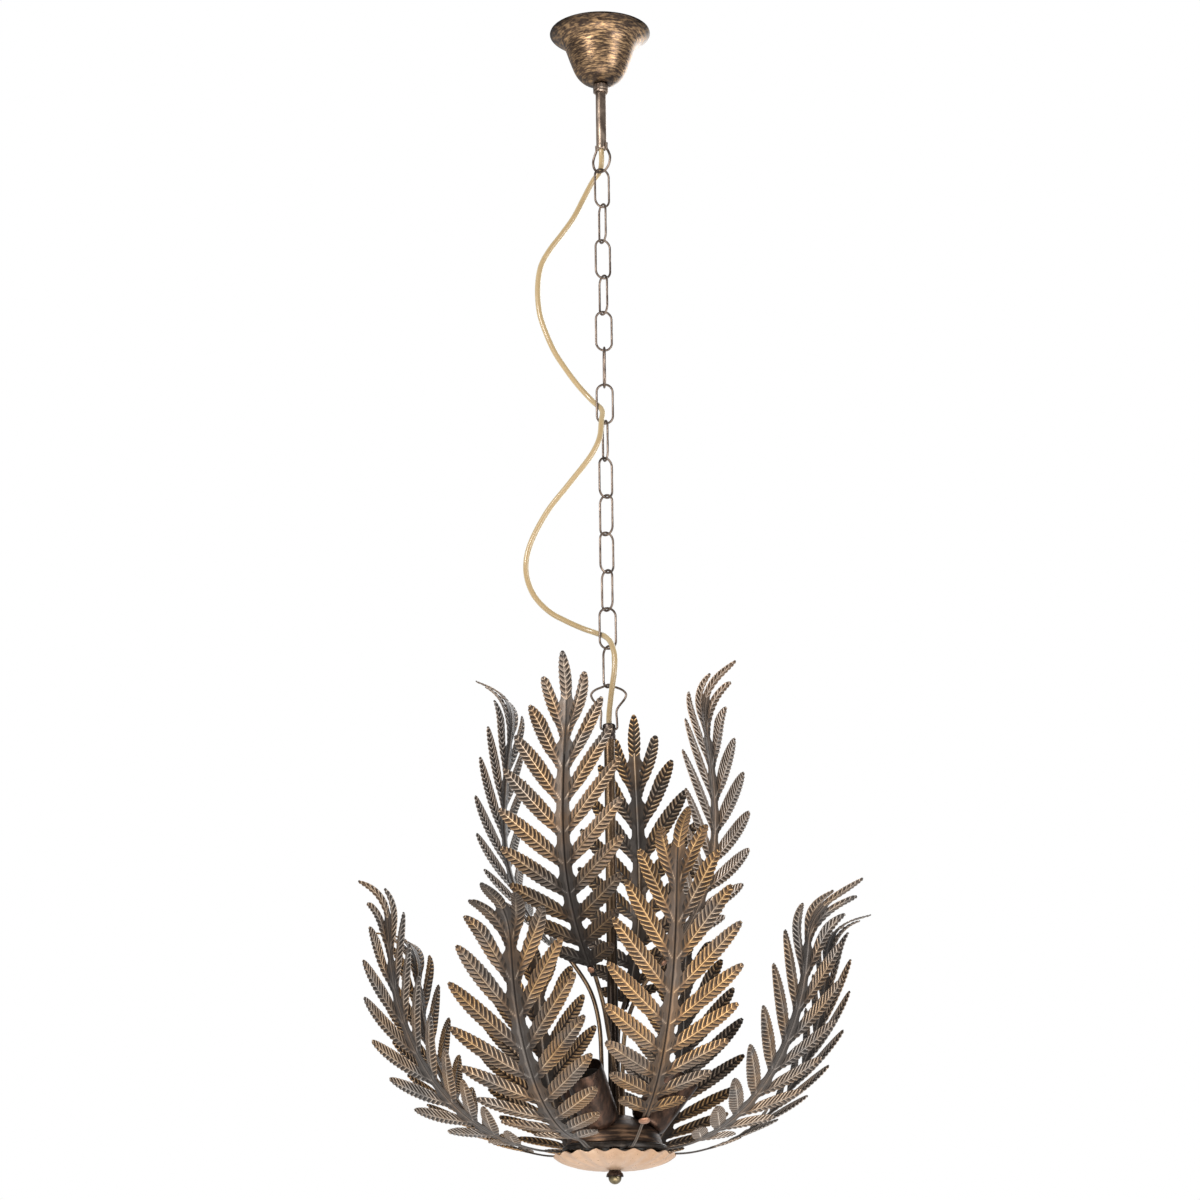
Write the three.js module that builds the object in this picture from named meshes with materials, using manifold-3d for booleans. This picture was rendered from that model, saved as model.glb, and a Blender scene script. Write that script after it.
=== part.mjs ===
// Pendant lamp: a bell canopy, a chain with a cord woven through it, and a body with three
// lamp holders inside two tiers of stamped fern leaves.
// Millimetres, +Z up. The origin is the middle of the ceiling strap's top face.
import * as THREE from 'three';
import { mergeVertices } from 'three/addons/utils/BufferGeometryUtils.js';
import Module from 'manifold-3d';

const wasm = await Module();
wasm.setup();

// Fits and smoothness
const GAP = 0.3;
const ROUND_SIDES = 20;
const SMALL_SIDES = 16;
const WIRE_SIDES = 6;

// Ceiling strap, its stud and locknut
const STRAP_LENGTH = 84;
const STRAP_WIDTH = 16;
const STRAP_THICKNESS = 2;
const STRAP_SLOT_LENGTH = 8;
const STRAP_SLOT_WIDTH = 4.5;
const STRAP_SLOT_MARGIN = 4.5;
const STUD_LENGTH = 12;
const NUT_ACROSS_CORNERS = 18;
const NUT_HEIGHT = 4;
const TERMINAL_LENGTH = 16;
const TERMINAL_WIDTH = 11;
const TERMINAL_HEIGHT = 12;
const TERMINAL_BORE = 1.6;

// Stem tube and the ring at its end
const STEM_RADIUS = 5.2;
const STEM_BORE = 3.5;
const STEM_LENGTH = 125.2;
const STEM_WINDOW_HEIGHT = 9;
const STEM_WINDOW_WIDTH = 5;
const RING_WIRE = 1.25;
const RING_HALF_WIDTH = 11;
const RING_DROP = 23.6;
const RING_WELD = 6;
const RING_TURN = -40;

// Canopy, collar and grub screw
const CANOPY_RADIUS = 50.5;
const CANOPY_HEIGHT = 56.5;
const CANOPY_WALL = 0.9;
const CANOPY_LIP = 0.3;
const CANOPY_THROAT = 36;
const CANOPY_WAIST = 31;
const CANOPY_CROWN = 25.5;
const COLLAR_RADIUS = 7.7;
const COLLAR_HEIGHT = 9;
const SCREW_RADIUS = 1.4;
const SCREW_HEAD_RADIUS = 2.4;
const SCREW_HEAD_LENGTH = 2.4;

// Chain: how far each link is turned about the vertical, top link first, in degrees
const LINK_WIRE = 1.1;
const LINK_LENGTH = 42.5;
const LINK_WIDTH = 17.9;
const LINK_TURNS = [29, -66, 26, -62, 12, -86, 4, -73, 39, -41, 37, -51, 10, -55];

// Bail
const BAIL_WIRE = 1.1;
const BAIL_HEIGHT = 43.5;
const BAIL_EAR = 16.6;
const BAIL_EAR_DROP = 9.5;
const BAIL_WAIST_DROP = 25;
const BAIL_PIN_REACH = 2;

// Column and its cap
const COLUMN_RADIUS = 5;
const COLUMN_BORE = 3.5;
const COLUMN_LENGTH = 407;
const CAP_WALL = 0.95;
const CAP_SKIRT = 4;
const CAP_HEAD = 11.5;
const CAP_PIN_DEPTH = 5;

// Hub dome, plate, dish and finial
const COLUMN_BELOW_DOME = 48;
const DOME_TOP = 15;
const DOME_RADIUS = 43;
const DOME_HEIGHT = 26;
const DOME_WALL = 1.5;
const PLATE_RADIUS = 48;
const PLATE_HEIGHT = 5.5;
const PLATE_WALL = 1.5;
const DISH_RADIUS = 56.5;
const DISH_DEPTH = 13.2;
const DISH_WALL = 1.2;
const DISH_FLUTES = 20;
const DISH_FLUTE_RISE = 1.8;
const CUP_TOP_RADIUS = 5.6;
const CUP_RADIUS = 8;
const CUP_HEIGHT = 5.5;
const CUP_WALL = 1;
const BALL_RADIUS = 6;
const NECK_LENGTH = 14;

// Lamp holders
const HOLDER_AZIMUTHS = [244, 4, 124];
const HOLDER_LEAN = 38;
const HOLDER_SEAT = 28;
const COVER_RADIUS = 17.9;
const COVER_WALL = 1;
const COVER_LENGTH = 58;
const COVER_ROUND = 7;
const COVER_FLOOR = COVER_ROUND + COVER_WALL;
const COVER_BOSS_RADIUS = 9;
const HOLDER_WALL = 2.2;
const HOLDER_LENGTH = 40;
const HOLDER_FLOOR = 8;
const CONTACT_RADIUS = 4;
const CONTACT_HEIGHT = 2.5;
const SHELL_WALL = 0.8;
const SHELL_LENGTH = 24;

// Fern leaves: one stamping, 9 pairs of leaflets and one at the tip, listed from base to tip
const LEAF_LENGTH = 315;
const LEAF_THICKNESS = 1;
const LEAF_FOLD = 5;
const LEAF_MIDRIB_BASE = 3;
const LEAF_MIDRIB_MIDDLE = 6.5;
const LEAF_MIDRIB_TIP = 4;
const LEAFLET_LENGTHS = [31, 50, 62, 70, 76, 79, 73, 64, 50];
const LEAFLET_SWEEPS = [60, 57, 55, 52, 48, 42, 36, 29, 20];
const LEAFLET_WIDTH = 15.6;
const LEAFLET_ROOT = 11;
const LEAFLET_FIRST = 18;
const LEAFLET_PITCH = 21.5;
const LEAFLET_PITCH_GROWTH = 0.875;
const TIP_LEAFLET = 46;
const TIP_WIDTH = 12;

// Rise of a leaf's midrib in degrees from level, at every BEND_STEP along it
const BEND_STEP = 40;
const LOWER_BEND = [12, 27, 42, 56, 67, 78, 86, 86, 86];
const UPPER_BEND = [43, 52, 65, 81, 91, 96, 98, 98, 98];

// Lower tier: azimuth, how far the tip curls back and from where along the midrib, how much
// longer the stalk is, how much higher it ends, how far the blade is twisted about its midrib
// and how much steeper it starts
const LOWER_LEAVES = [
  { azimuth: 197, curl: 70, curlFrom: 258, reach: 0, lift: 0, twist: -12, steeper: 0 },
  { azimuth: 246.6, curl: 70, curlFrom: 226, reach: 0, lift: 5, twist: -3, steeper: -12 },
  { azimuth: 284.4, curl: 57, curlFrom: 240, reach: 28, lift: 9, twist: -5, steeper: 11.5 },
  { azimuth: 325, curl: 62, curlFrom: 222, reach: 2, lift: 0, twist: 0, steeper: 0 },
  { azimuth: 17, curl: 70, curlFrom: 240, reach: 2, lift: 0, twist: 0, steeper: 0 },
  { azimuth: 70, curl: 40, curlFrom: 240, reach: 0, lift: 0, twist: 0, steeper: 0 },
  { azimuth: 110, curl: 60, curlFrom: 240, reach: 0, lift: 0, twist: 0, steeper: 0 },
  { azimuth: 152, curl: 76, curlFrom: 240, reach: 0, lift: 0, twist: 0, steeper: 0 },
];
const STEEP_KNOTS = 5;
const STALK_HALF_WIDTH = 2.6;
const STALK_INNER = 34;
const STALK_BLADE = 78;

// Upper tier: azimuth of the leaf, azimuth of its stem's foot on the dome, place of the
// blade's base above the dome, and tip curl
const UPPER_LEAVES = [
  { azimuth: 245, foot: 291, radius: 40, rise: 125, curl: 22 },
  { azimuth: 329.5, foot: 317, radius: 49, rise: 133, curl: 66 },
  { azimuth: 74, foot: 64, radius: 38, rise: 104, curl: 8 },
  { azimuth: 160, foot: 184, radius: 45, rise: 148, curl: 72 },
];
const UPPER_CURL_FROM = 240;
const CURL_SPAN = 65;
const STEM_WIRE = 2;
const STEM_FOOT = 11;
const STEM_LAP = 20;
const RIVET_RADIUS = 3.4;
const RIVET_HEIGHT = 1.8;
const RIVET_PLACE = 8;

// Cord: its route from the stem's bore to the column's bore
const CORD_RADIUS = 2.7;
const CORD_STEPS = 60;
const CORD_ROUTE = [
  [0, 0, -122], [0, 0, -129], [-0.1, 4, -139.8], [-1.7, 8.5, -146.7], [-8.9, 11.5, -156.1],
  [-18.1, 12, -173.8], [-28.8, 11, -195.5], [-40.4, 10, -212.9], [-53.4, 8, -231.6],
  [-61.5, 7, -247.8], [-64.9, 6, -272], [-63.2, 5, -298], [-58.9, 5, -313.8],
  [-49.3, 6, -337.6], [-38.6, 8, -354.9], [-26.1, 10, -372.2], [-12.6, 8.5, -388.6],
  [-2.7, 0, -401.9], [-3.6, -8, -415.5], [-5.6, -12.5, -434], [-13.1, -13, -450.6],
  [-35.7, -10, -479.8], [-57.2, -6, -506.6], [-73.9, -4, -539.1], [-77.9, -3, -557.8],
  [-76.6, 0, -572.9], [-69.6, 4, -588.9], [-55.3, 8, -603.2], [-39.1, 11, -611.9],
  [-23.8, 11.5, -619], [-11.5, 7.5, -624.6], [-2.2, 0, -630.4], [3.2, -8.5, -639.5],
  [6.2, -12.5, -653.2], [5.6, -12.5, -668.1], [3.3, -9.5, -683.1], [1.4, -4.5, -697],
  [0.2, -1, -708], [0, 0, -717], [0, 0, -745],
];

// Levels that follow from the sizes above
const STEM_TOP = -(STRAP_THICKNESS + GAP);
const STEM_END = STEM_TOP - STEM_LENGTH;
const RING_BOTTOM = STEM_END - RING_DROP;
const LINK_MIDDLE_LENGTH = LINK_LENGTH - 2 * LINK_WIRE;
const LINK_MIDDLE_RADIUS = LINK_WIDTH / 2 - LINK_WIRE;
const LINK_PITCH = LINK_MIDDLE_LENGTH - 2 * LINK_WIRE - GAP;
const CHAIN_TOP = RING_BOTTOM + RING_WIRE + LINK_WIRE + GAP;
const CHAIN_BOTTOM = CHAIN_TOP - (LINK_TURNS.length - 1) * LINK_PITCH - LINK_MIDDLE_LENGTH;
const BAIL_TOP = CHAIN_BOTTOM + LINK_WIRE + BAIL_WIRE + GAP;
const BAIL_PIN = BAIL_TOP - BAIL_HEIGHT;
const CAP_TOP = BAIL_PIN + CAP_PIN_DEPTH;
const CAP_RADIUS = COLUMN_RADIUS + GAP + CAP_WALL;
const COLUMN_TOP = CAP_TOP - CAP_HEAD - GAP;
const COLUMN_END = COLUMN_TOP - COLUMN_LENGTH;
const DOME_LEVEL = COLUMN_END + COLUMN_BELOW_DOME;
const PLATE_TOP = DOME_LEVEL - DOME_HEIGHT - GAP;
const STALK_LEVEL = PLATE_TOP - PLATE_HEIGHT - GAP - LEAF_THICKNESS / 2;
const DISH_RIM = STALK_LEVEL - LEAF_THICKNESS / 2 - GAP - DISH_FLUTE_RISE;

const lamp = new THREE.Group();

// Materials

function metal(color, roughness, metalness = 0.85) {
  return new THREE.MeshStandardMaterial({ color, roughness, metalness });
}

const BRONZE = 0x4a3c31;
const RUBBED_BRONZE = 0x6a4a34;
const CHAIN_METAL = 0x6b5f52;
const DISH_METAL = 0xc79c76;

function add(name, geometry, material, parent = lamp) {
  const mesh = new THREE.Mesh(closed(geometry), material);
  mesh.name = name;
  parent.add(mesh);
  return mesh;
}

// Geometry helpers

function signedVolume(positions, index) {
  const [a, b, c] = [new THREE.Vector3(), new THREE.Vector3(), new THREE.Vector3()];
  let sum = 0;
  for (let i = 0; i < index.length; i += 3) {
    a.fromBufferAttribute(positions, index[i]);
    b.fromBufferAttribute(positions, index[i + 1]);
    c.fromBufferAttribute(positions, index[i + 2]);
    sum += a.dot(b.cross(c));
  }
  return sum / 6;
}

// Joins shared corners, drops triangles that have no area and turns the faces outwards
function closed(source) {
  const bare = new THREE.BufferGeometry();
  bare.setAttribute('position', source.getAttribute('position'));
  if (source.index) bare.setIndex(source.index);
  const merged = mergeVertices(bare, 1e-4);
  const old = merged.index.array;
  const index = [];
  for (let i = 0; i < old.length; i += 3) {
    const [a, b, c] = [old[i], old[i + 1], old[i + 2]];
    if (a !== b && b !== c && c !== a) index.push(a, b, c);
  }
  if (signedVolume(merged.getAttribute('position'), index) < 0) index.reverse();
  merged.setIndex(index);
  merged.computeVertexNormals();
  return merged;
}

function toManifold(geometry) {
  const mesh = closed(geometry);
  return new wasm.Manifold(new wasm.Mesh({
    numProp: 3,
    vertProperties: new Float32Array(mesh.getAttribute('position').array),
    triVerts: new Uint32Array(mesh.index.array),
  }));
}

function fromManifold(solid) {
  const mesh = solid.getMesh();
  const geometry = new THREE.BufferGeometry();
  geometry.setAttribute('position', new THREE.BufferAttribute(mesh.vertProperties, 3));
  geometry.setIndex(new THREE.BufferAttribute(mesh.triVerts, 1));
  return geometry;
}

function cut(geometry, ...tools) {
  let solid = toManifold(geometry);
  for (const tool of tools) solid = solid.subtract(toManifold(tool));
  return fromManifold(solid);
}

function join(geometry, ...others) {
  let solid = toManifold(geometry);
  for (const other of others) solid = solid.add(toManifold(other));
  return fromManifold(solid);
}

// A solid of revolution about Z from an outline of [radius, height] pairs
function turned(outline, sides = ROUND_SIDES) {
  const points = [...outline, outline[0]].map(([r, z]) => new THREE.Vector2(r, z));
  return new THREE.LatheGeometry(points, sides).rotateX(Math.PI / 2);
}

function tube(outer, inner, top, bottom, sides = ROUND_SIDES) {
  return turned([[inner, bottom], [outer, bottom], [outer, top], [inner, top]], sides);
}

function rod(radius, top, bottom, sides = SMALL_SIDES) {
  return new THREE.CylinderGeometry(radius, radius, top - bottom, sides)
    .rotateX(Math.PI / 2)
    .translate(0, 0, (top + bottom) / 2);
}

function box(length, width, height) {
  return new THREE.BoxGeometry(length, width, height);
}

// A curve through [radius, height] pairs, sampled, with a second outline a wall inside it
function shellOutline(pairs, wall, samples) {
  const curve = new THREE.SplineCurve(pairs.map(([r, z]) => new THREE.Vector2(r, z)));
  const outer = [];
  const inner = [];
  for (let i = 0; i <= samples; i += 1) {
    const point = curve.getPoint(i / samples);
    const along = curve.getTangent(i / samples);
    outer.push([point.x, point.y]);
    inner.unshift([point.x + along.y * wall, point.y - along.x * wall]);
  }
  return { outer, inner };
}

function roundSection(radius, sides) {
  const corners = [];
  for (let i = 0; i < sides; i += 1) {
    const angle = (2 * Math.PI * i) / sides;
    corners.push(new THREE.Vector2(radius * Math.cos(angle), radius * Math.sin(angle)));
  }
  return new THREE.Shape(corners);
}

// A wire bent along a smooth curve through points
function wire(points, radius, steps, sides = WIRE_SIDES) {
  const path = new THREE.CatmullRomCurve3(points, false, 'centripetal');
  return new THREE.ExtrudeGeometry(roundSection(radius, sides), { steps, extrudePath: path });
}

// A closed wire loop in the XZ plane
function loop(points, radius, sides) {
  const count = points.length;
  const corners = [];
  const index = [];
  for (let i = 0; i < count; i += 1) {
    const before = points[(i + count - 1) % count];
    const after = points[(i + 1) % count];
    const along = new THREE.Vector2().subVectors(after, before).normalize();
    for (let k = 0; k < sides; k += 1) {
      const angle = (2 * Math.PI * (k + 0.5)) / sides;
      const out = radius * Math.cos(angle);
      corners.push(points[i].x + along.y * out, radius * Math.sin(angle), points[i].y - along.x * out);
      const [a, b] = [i * sides + k, i * sides + ((k + 1) % sides)];
      const [c, d] = [((i + 1) % count) * sides + k, ((i + 1) % count) * sides + ((k + 1) % sides)];
      index.push(a, b, c, b, d, c);
    }
  }
  const geometry = new THREE.BufferGeometry();
  geometry.setAttribute('position', new THREE.Float32BufferAttribute(corners, 3));
  geometry.setIndex(index);
  return geometry;
}

// Ceiling fixing

function ceilingStrap() {
  const bar = box(STRAP_LENGTH, STRAP_WIDTH, STRAP_THICKNESS).translate(0, 0, -STRAP_THICKNESS / 2);
  const stud = rod(STEM_BORE - GAP, -STRAP_THICKNESS / 2, -STRAP_THICKNESS - STUD_LENGTH);
  const slotPlace = STRAP_LENGTH / 2 - STRAP_SLOT_MARGIN - STRAP_SLOT_LENGTH / 2;
  const slots = [-1, 1].map((side) => box(STRAP_SLOT_LENGTH, STRAP_SLOT_WIDTH, 3 * STRAP_THICKNESS)
    .translate(side * slotPlace, 0, -STRAP_THICKNESS / 2));
  return cut(join(bar, stud), ...slots);
}

function locknut() {
  const hexagon = new THREE.CylinderGeometry(NUT_ACROSS_CORNERS / 2, NUT_ACROSS_CORNERS / 2, NUT_HEIGHT, 6)
    .rotateX(Math.PI / 2);
  return cut(hexagon, rod(STEM_RADIUS + GAP, NUT_HEIGHT, -NUT_HEIGHT));
}

function terminalBlock() {
  const bores = [-1, 0, 1].map((i) => new THREE.CylinderGeometry(
    TERMINAL_BORE, TERMINAL_BORE, 2 * TERMINAL_WIDTH, 8).translate(i * TERMINAL_LENGTH / 3, 0, 0));
  return cut(box(TERMINAL_LENGTH, TERMINAL_WIDTH, TERMINAL_HEIGHT), ...bores);
}

function addCeilingFixing() {
  add('ceiling_strap', ceilingStrap(), metal(0x8d8c88, 0.4));
  const nut = add('stem_locknut', locknut(), metal(0x9a958a, 0.35));
  nut.position.z = STEM_TOP - NUT_HEIGHT / 2;
  const block = add('terminal_block', terminalBlock(), metal(0xe6e1d2, 0.5, 0));
  const blockPlace = NUT_ACROSS_CORNERS / 2 + 3 * GAP + TERMINAL_LENGTH / 2;
  block.position.set(blockPlace, 0, STEM_TOP - TERMINAL_HEIGHT / 2);
}

// Stem and its ring

function stemTube() {
  const window = box(STEM_WINDOW_WIDTH, 2 * STEM_RADIUS, STEM_WINDOW_HEIGHT)
    .translate(0, STEM_RADIUS, -STUD_LENGTH - STEM_WINDOW_HEIGHT);
  return cut(tube(STEM_RADIUS, STEM_BORE, 0, -STEM_LENGTH, SMALL_SIDES), window);
}

function stemRing() {
  const leg = STEM_RADIUS + GAP + RING_WIRE;
  const half = [
    [leg, RING_WELD],
    [leg, 0],
    [(leg + RING_HALF_WIDTH) / 2, -0.17 * RING_DROP],
    [RING_HALF_WIDTH, -0.45 * RING_DROP],
    [0.84 * RING_HALF_WIDTH, -0.77 * RING_DROP],
    [0.42 * RING_HALF_WIDTH, -0.96 * RING_DROP],
  ];
  const right = half.map(([x, z]) => new THREE.Vector3(x, 0, z));
  const left = half.map(([x, z]) => new THREE.Vector3(-x, 0, z)).reverse();
  return wire([...right, new THREE.Vector3(0, 0, -RING_DROP), ...left], RING_WIRE, 28);
}

function addStem() {
  const stem = add('stem_tube', stemTube(), metal(BRONZE, 0.4));
  stem.position.z = STEM_TOP;
  const ring = add('stem_ring', stemRing(), metal(CHAIN_METAL, 0.4));
  ring.position.z = STEM_END;
  ring.rotation.z = THREE.MathUtils.degToRad(RING_TURN);
}

// Canopy

function canopyBell() {
  const outside = [
    [CANOPY_RADIUS - CANOPY_LIP, 0],
    [CANOPY_RADIUS, -0.03 * CANOPY_HEIGHT],
    [0.95 * CANOPY_RADIUS, -0.07 * CANOPY_HEIGHT],
    [1.15 * CANOPY_THROAT, -0.15 * CANOPY_HEIGHT],
    [CANOPY_THROAT, -0.27 * CANOPY_HEIGHT],
    [CANOPY_WAIST, -0.52 * CANOPY_HEIGHT],
    [CANOPY_CROWN, -0.77 * CANOPY_HEIGHT],
    [0.76 * CANOPY_CROWN, -0.91 * CANOPY_HEIGHT],
    [0.47 * CANOPY_CROWN, -0.985 * CANOPY_HEIGHT],
    [STEM_RADIUS + GAP, -CANOPY_HEIGHT],
  ];
  const { outer, inner } = shellOutline(outside, CANOPY_WALL, 11);
  inner[0] = [STEM_RADIUS + GAP, -CANOPY_HEIGHT + CANOPY_WALL];
  inner[inner.length - 1] = [CANOPY_RADIUS - CANOPY_LIP - CANOPY_WALL, 0];
  return turned([...outer, ...inner]);
}

function collar() {
  const ring = tube(COLLAR_RADIUS, STEM_RADIUS + GAP, 0, -COLLAR_HEIGHT, SMALL_SIDES);
  const hole = rod(SCREW_RADIUS + GAP, 2 * COLLAR_RADIUS, 0, 8)
    .rotateX(-Math.PI / 2)
    .translate(0, 0, -COLLAR_HEIGHT / 2);
  return cut(ring, hole);
}

function collarScrew() {
  const shank = COLLAR_RADIUS - STEM_RADIUS;
  return turned([
    [0, GAP],
    [SCREW_RADIUS, GAP],
    [SCREW_RADIUS, shank + GAP],
    [SCREW_HEAD_RADIUS, shank + GAP],
    [SCREW_HEAD_RADIUS, shank + GAP + SCREW_HEAD_LENGTH],
    [0, shank + GAP + SCREW_HEAD_LENGTH],
  ], 10).rotateX(-Math.PI / 2);
}

function addCanopy() {
  const bell = add('canopy', canopyBell(), metal(RUBBED_BRONZE, 0.35));
  bell.position.z = -GAP;
  const ring = add('canopy_collar', collar(), metal(BRONZE, 0.35));
  ring.position.z = -GAP - CANOPY_HEIGHT - GAP;
  const screw = add('collar_screw', collarScrew(), metal(CHAIN_METAL, 0.35));
  screw.position.set(0, STEM_RADIUS, ring.position.z - COLLAR_HEIGHT / 2);
}

// Chain

function chainLink() {
  const straight = LINK_MIDDLE_LENGTH / 2 - LINK_MIDDLE_RADIUS;
  const points = [];
  for (const end of [1, -1]) {
    for (let i = 0; i <= 6; i += 1) {
      const angle = (Math.PI * i) / 6;
      points.push(new THREE.Vector2(
        end * LINK_MIDDLE_RADIUS * Math.cos(angle),
        end * (straight + LINK_MIDDLE_RADIUS * Math.sin(angle)),
      ));
    }
  }
  return loop(points, LINK_WIRE, WIRE_SIDES);
}

function addChain() {
  const link = chainLink();
  LINK_TURNS.forEach((turn, i) => {
    const name = `chain_link_${String(i + 1).padStart(2, '0')}`;
    const mesh = add(name, link.clone(), metal(CHAIN_METAL, 0.4));
    mesh.position.z = CHAIN_TOP - i * LINK_PITCH - LINK_MIDDLE_LENGTH / 2;
    mesh.rotation.z = THREE.MathUtils.degToRad(turn);
  });
}

// Bail, column and cap

function bail() {
  const leg = CAP_RADIUS + GAP + BAIL_WIRE;
  const half = [
    [leg - BAIL_PIN_REACH - BAIL_WIRE, BAIL_TOP - BAIL_HEIGHT],
    [leg - BAIL_WIRE, BAIL_PIN],
    [leg, BAIL_PIN + BAIL_WIRE],
    [leg, BAIL_PIN + 0.2 * BAIL_HEIGHT],
    [leg, BAIL_TOP - BAIL_WAIST_DROP],
    [BAIL_EAR - 1, BAIL_TOP - BAIL_EAR_DROP - 4],
    [BAIL_EAR, BAIL_TOP - BAIL_EAR_DROP],
    [BAIL_EAR - 3, BAIL_TOP - 0.6 * BAIL_EAR_DROP],
    [0.3 * BAIL_EAR, BAIL_TOP - 0.2 * BAIL_EAR_DROP],
  ];
  const right = half.map(([x, z]) => new THREE.Vector3(x, 0, z));
  const left = half.map(([x, z]) => new THREE.Vector3(-x, 0, z)).reverse();
  return wire([...right, new THREE.Vector3(0, 0, BAIL_TOP), ...left], BAIL_WIRE, 40);
}

function columnCap() {
  const outline = [
    [CORD_RADIUS + 2 * GAP, 0],
    [CORD_RADIUS + 2 * GAP, -CAP_HEAD],
    [COLUMN_RADIUS + GAP, -CAP_HEAD],
    [COLUMN_RADIUS + GAP, -CAP_HEAD - CAP_SKIRT],
    [CAP_RADIUS, -CAP_HEAD - CAP_SKIRT],
    [CAP_RADIUS, -1],
    [CAP_RADIUS - 1, 0],
  ];
  const pinHole = new THREE.CylinderGeometry(BAIL_WIRE + GAP, BAIL_WIRE + GAP, 3 * CAP_RADIUS, 10)
    .rotateZ(Math.PI / 2)
    .translate(0, 0, -CAP_PIN_DEPTH);
  return cut(turned(outline, SMALL_SIDES), pinHole);
}

function addColumn() {
  add('bail', bail(), metal(CHAIN_METAL, 0.4));
  const cap = add('column_cap', columnCap(), metal(BRONZE, 0.45));
  cap.position.z = CAP_TOP;
  const column = tube(COLUMN_RADIUS, COLUMN_BORE, 0, -COLUMN_LENGTH, SMALL_SIDES);
  add('column_tube', column, metal(RUBBED_BRONZE, 0.4)).position.z = COLUMN_TOP;
}

// Hub

function domeOutline() {
  return [
    [COLUMN_RADIUS + GAP, 0],
    [DOME_TOP, -0.04 * DOME_HEIGHT],
    [0.67 * DOME_RADIUS, -0.3 * DOME_HEIGHT],
    [0.9 * DOME_RADIUS, -0.58 * DOME_HEIGHT],
    [DOME_RADIUS, -DOME_HEIGHT],
  ];
}

function hubDome() {
  const { outer, inner } = shellOutline(domeOutline(), DOME_WALL, 6);
  inner[0] = [DOME_RADIUS - DOME_WALL, -DOME_HEIGHT];
  inner[inner.length - 1] = [COLUMN_RADIUS + GAP, -DOME_WALL];
  return turned([...outer, ...inner]);
}

// Everything under the dome's skin, raised by the clearance, to trim what stands on it
function underDome() {
  const { outer } = shellOutline(domeOutline(), DOME_WALL, 6);
  const raised = outer.map(([r, z]) => [r, z + GAP]);
  raised[0] = [0, GAP];
  const edge = raised[raised.length - 1][0] + GAP;
  const foot = -3 * DOME_HEIGHT;
  return turned([...raised, [edge, -DOME_HEIGHT], [edge, foot], [0, foot]]);
}

function hubPlate() {
  return turned([
    [COLUMN_RADIUS + GAP, 0],
    [PLATE_RADIUS - 1, 0],
    [PLATE_RADIUS, -1],
    [PLATE_RADIUS, -PLATE_HEIGHT],
    [PLATE_RADIUS - PLATE_WALL, -PLATE_HEIGHT],
    [PLATE_RADIUS - PLATE_WALL, -PLATE_WALL],
    [COLUMN_RADIUS + GAP, -PLATE_WALL],
  ]);
}

function dish() {
  const outside = [
    [DISH_RADIUS, 0],
    [0.87 * DISH_RADIUS, -0.38 * DISH_DEPTH],
    [0.66 * DISH_RADIUS, -0.72 * DISH_DEPTH],
    [0.4 * DISH_RADIUS, -0.94 * DISH_DEPTH],
    [COLUMN_RADIUS + GAP, -DISH_DEPTH],
  ];
  const { outer, inner } = shellOutline(outside, DISH_WALL, 5);
  inner[0] = [COLUMN_RADIUS + GAP, -DISH_DEPTH + DISH_WALL];
  inner[inner.length - 1] = [DISH_RADIUS - DISH_WALL, 0];
  const geometry = turned([...outer, ...inner], 4 * DISH_FLUTES);
  const place = geometry.getAttribute('position');
  for (let i = 0; i < place.count; i += 1) {
    const [x, y] = [place.getX(i), place.getY(i)];
    const share = (Math.hypot(x, y) / DISH_RADIUS) ** 2;
    const wave = Math.cos(DISH_FLUTES * Math.atan2(y, x));
    place.setZ(i, place.getZ(i) + DISH_FLUTE_RISE * share * wave);
  }
  return geometry;
}

function finialCup() {
  return turned([
    [COLUMN_BORE, 0],
    [CUP_TOP_RADIUS, 0],
    [0.8 * CUP_RADIUS, -0.3 * CUP_HEIGHT],
    [CUP_RADIUS, -CUP_HEIGHT],
    [CUP_RADIUS - CUP_WALL, -CUP_HEIGHT],
    [COLUMN_BORE + 0.5, -CUP_WALL],
    [COLUMN_BORE, -CUP_WALL],
  ], SMALL_SIDES);
}

// The ball hangs under the cup and its neck screws up into the column
function finialBall() {
  const neck = COLUMN_BORE - GAP;
  const start = Math.asin(neck / BALL_RADIUS);
  const outline = [[0, NECK_LENGTH], [neck, NECK_LENGTH]];
  for (let i = 0; i <= 7; i += 1) {
    const angle = start + ((Math.PI - start) * i) / 7;
    outline.push([BALL_RADIUS * Math.sin(angle), BALL_RADIUS * Math.cos(angle)]);
  }
  outline[outline.length - 1][0] = 0;
  return turned(outline, SMALL_SIDES);
}

function addHub() {
  add('hub_dome', hubDome(), metal(RUBBED_BRONZE, 0.35)).position.z = DOME_LEVEL;
  add('hub_plate', hubPlate(), metal(0x2c2622, 0.35)).position.z = PLATE_TOP;
  add('scalloped_dish', dish(), metal(DISH_METAL, 0.45, 0.6)).position.z = DISH_RIM;
  const cupTop = Math.min(DISH_RIM - DISH_DEPTH, COLUMN_END) - GAP;
  add('finial_cup', finialCup(), metal(BRONZE, 0.35)).position.z = cupTop;
  const ball = add('finial_ball', finialBall(), metal(RUBBED_BRONZE, 0.35));
  ball.position.z = cupTop - CUP_WALL - GAP - Math.sqrt(BALL_RADIUS ** 2 - (COLUMN_BORE - GAP) ** 2);
}

// Lamp holders

function domeHeightAt(radius) {
  const curve = new THREE.SplineCurve(domeOutline().map(([r, z]) => new THREE.Vector2(r, z)));
  const points = curve.getPoints(60);
  const next = points.findIndex((point) => point.x >= radius);
  return points[Math.max(next, 0)].y;
}

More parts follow.
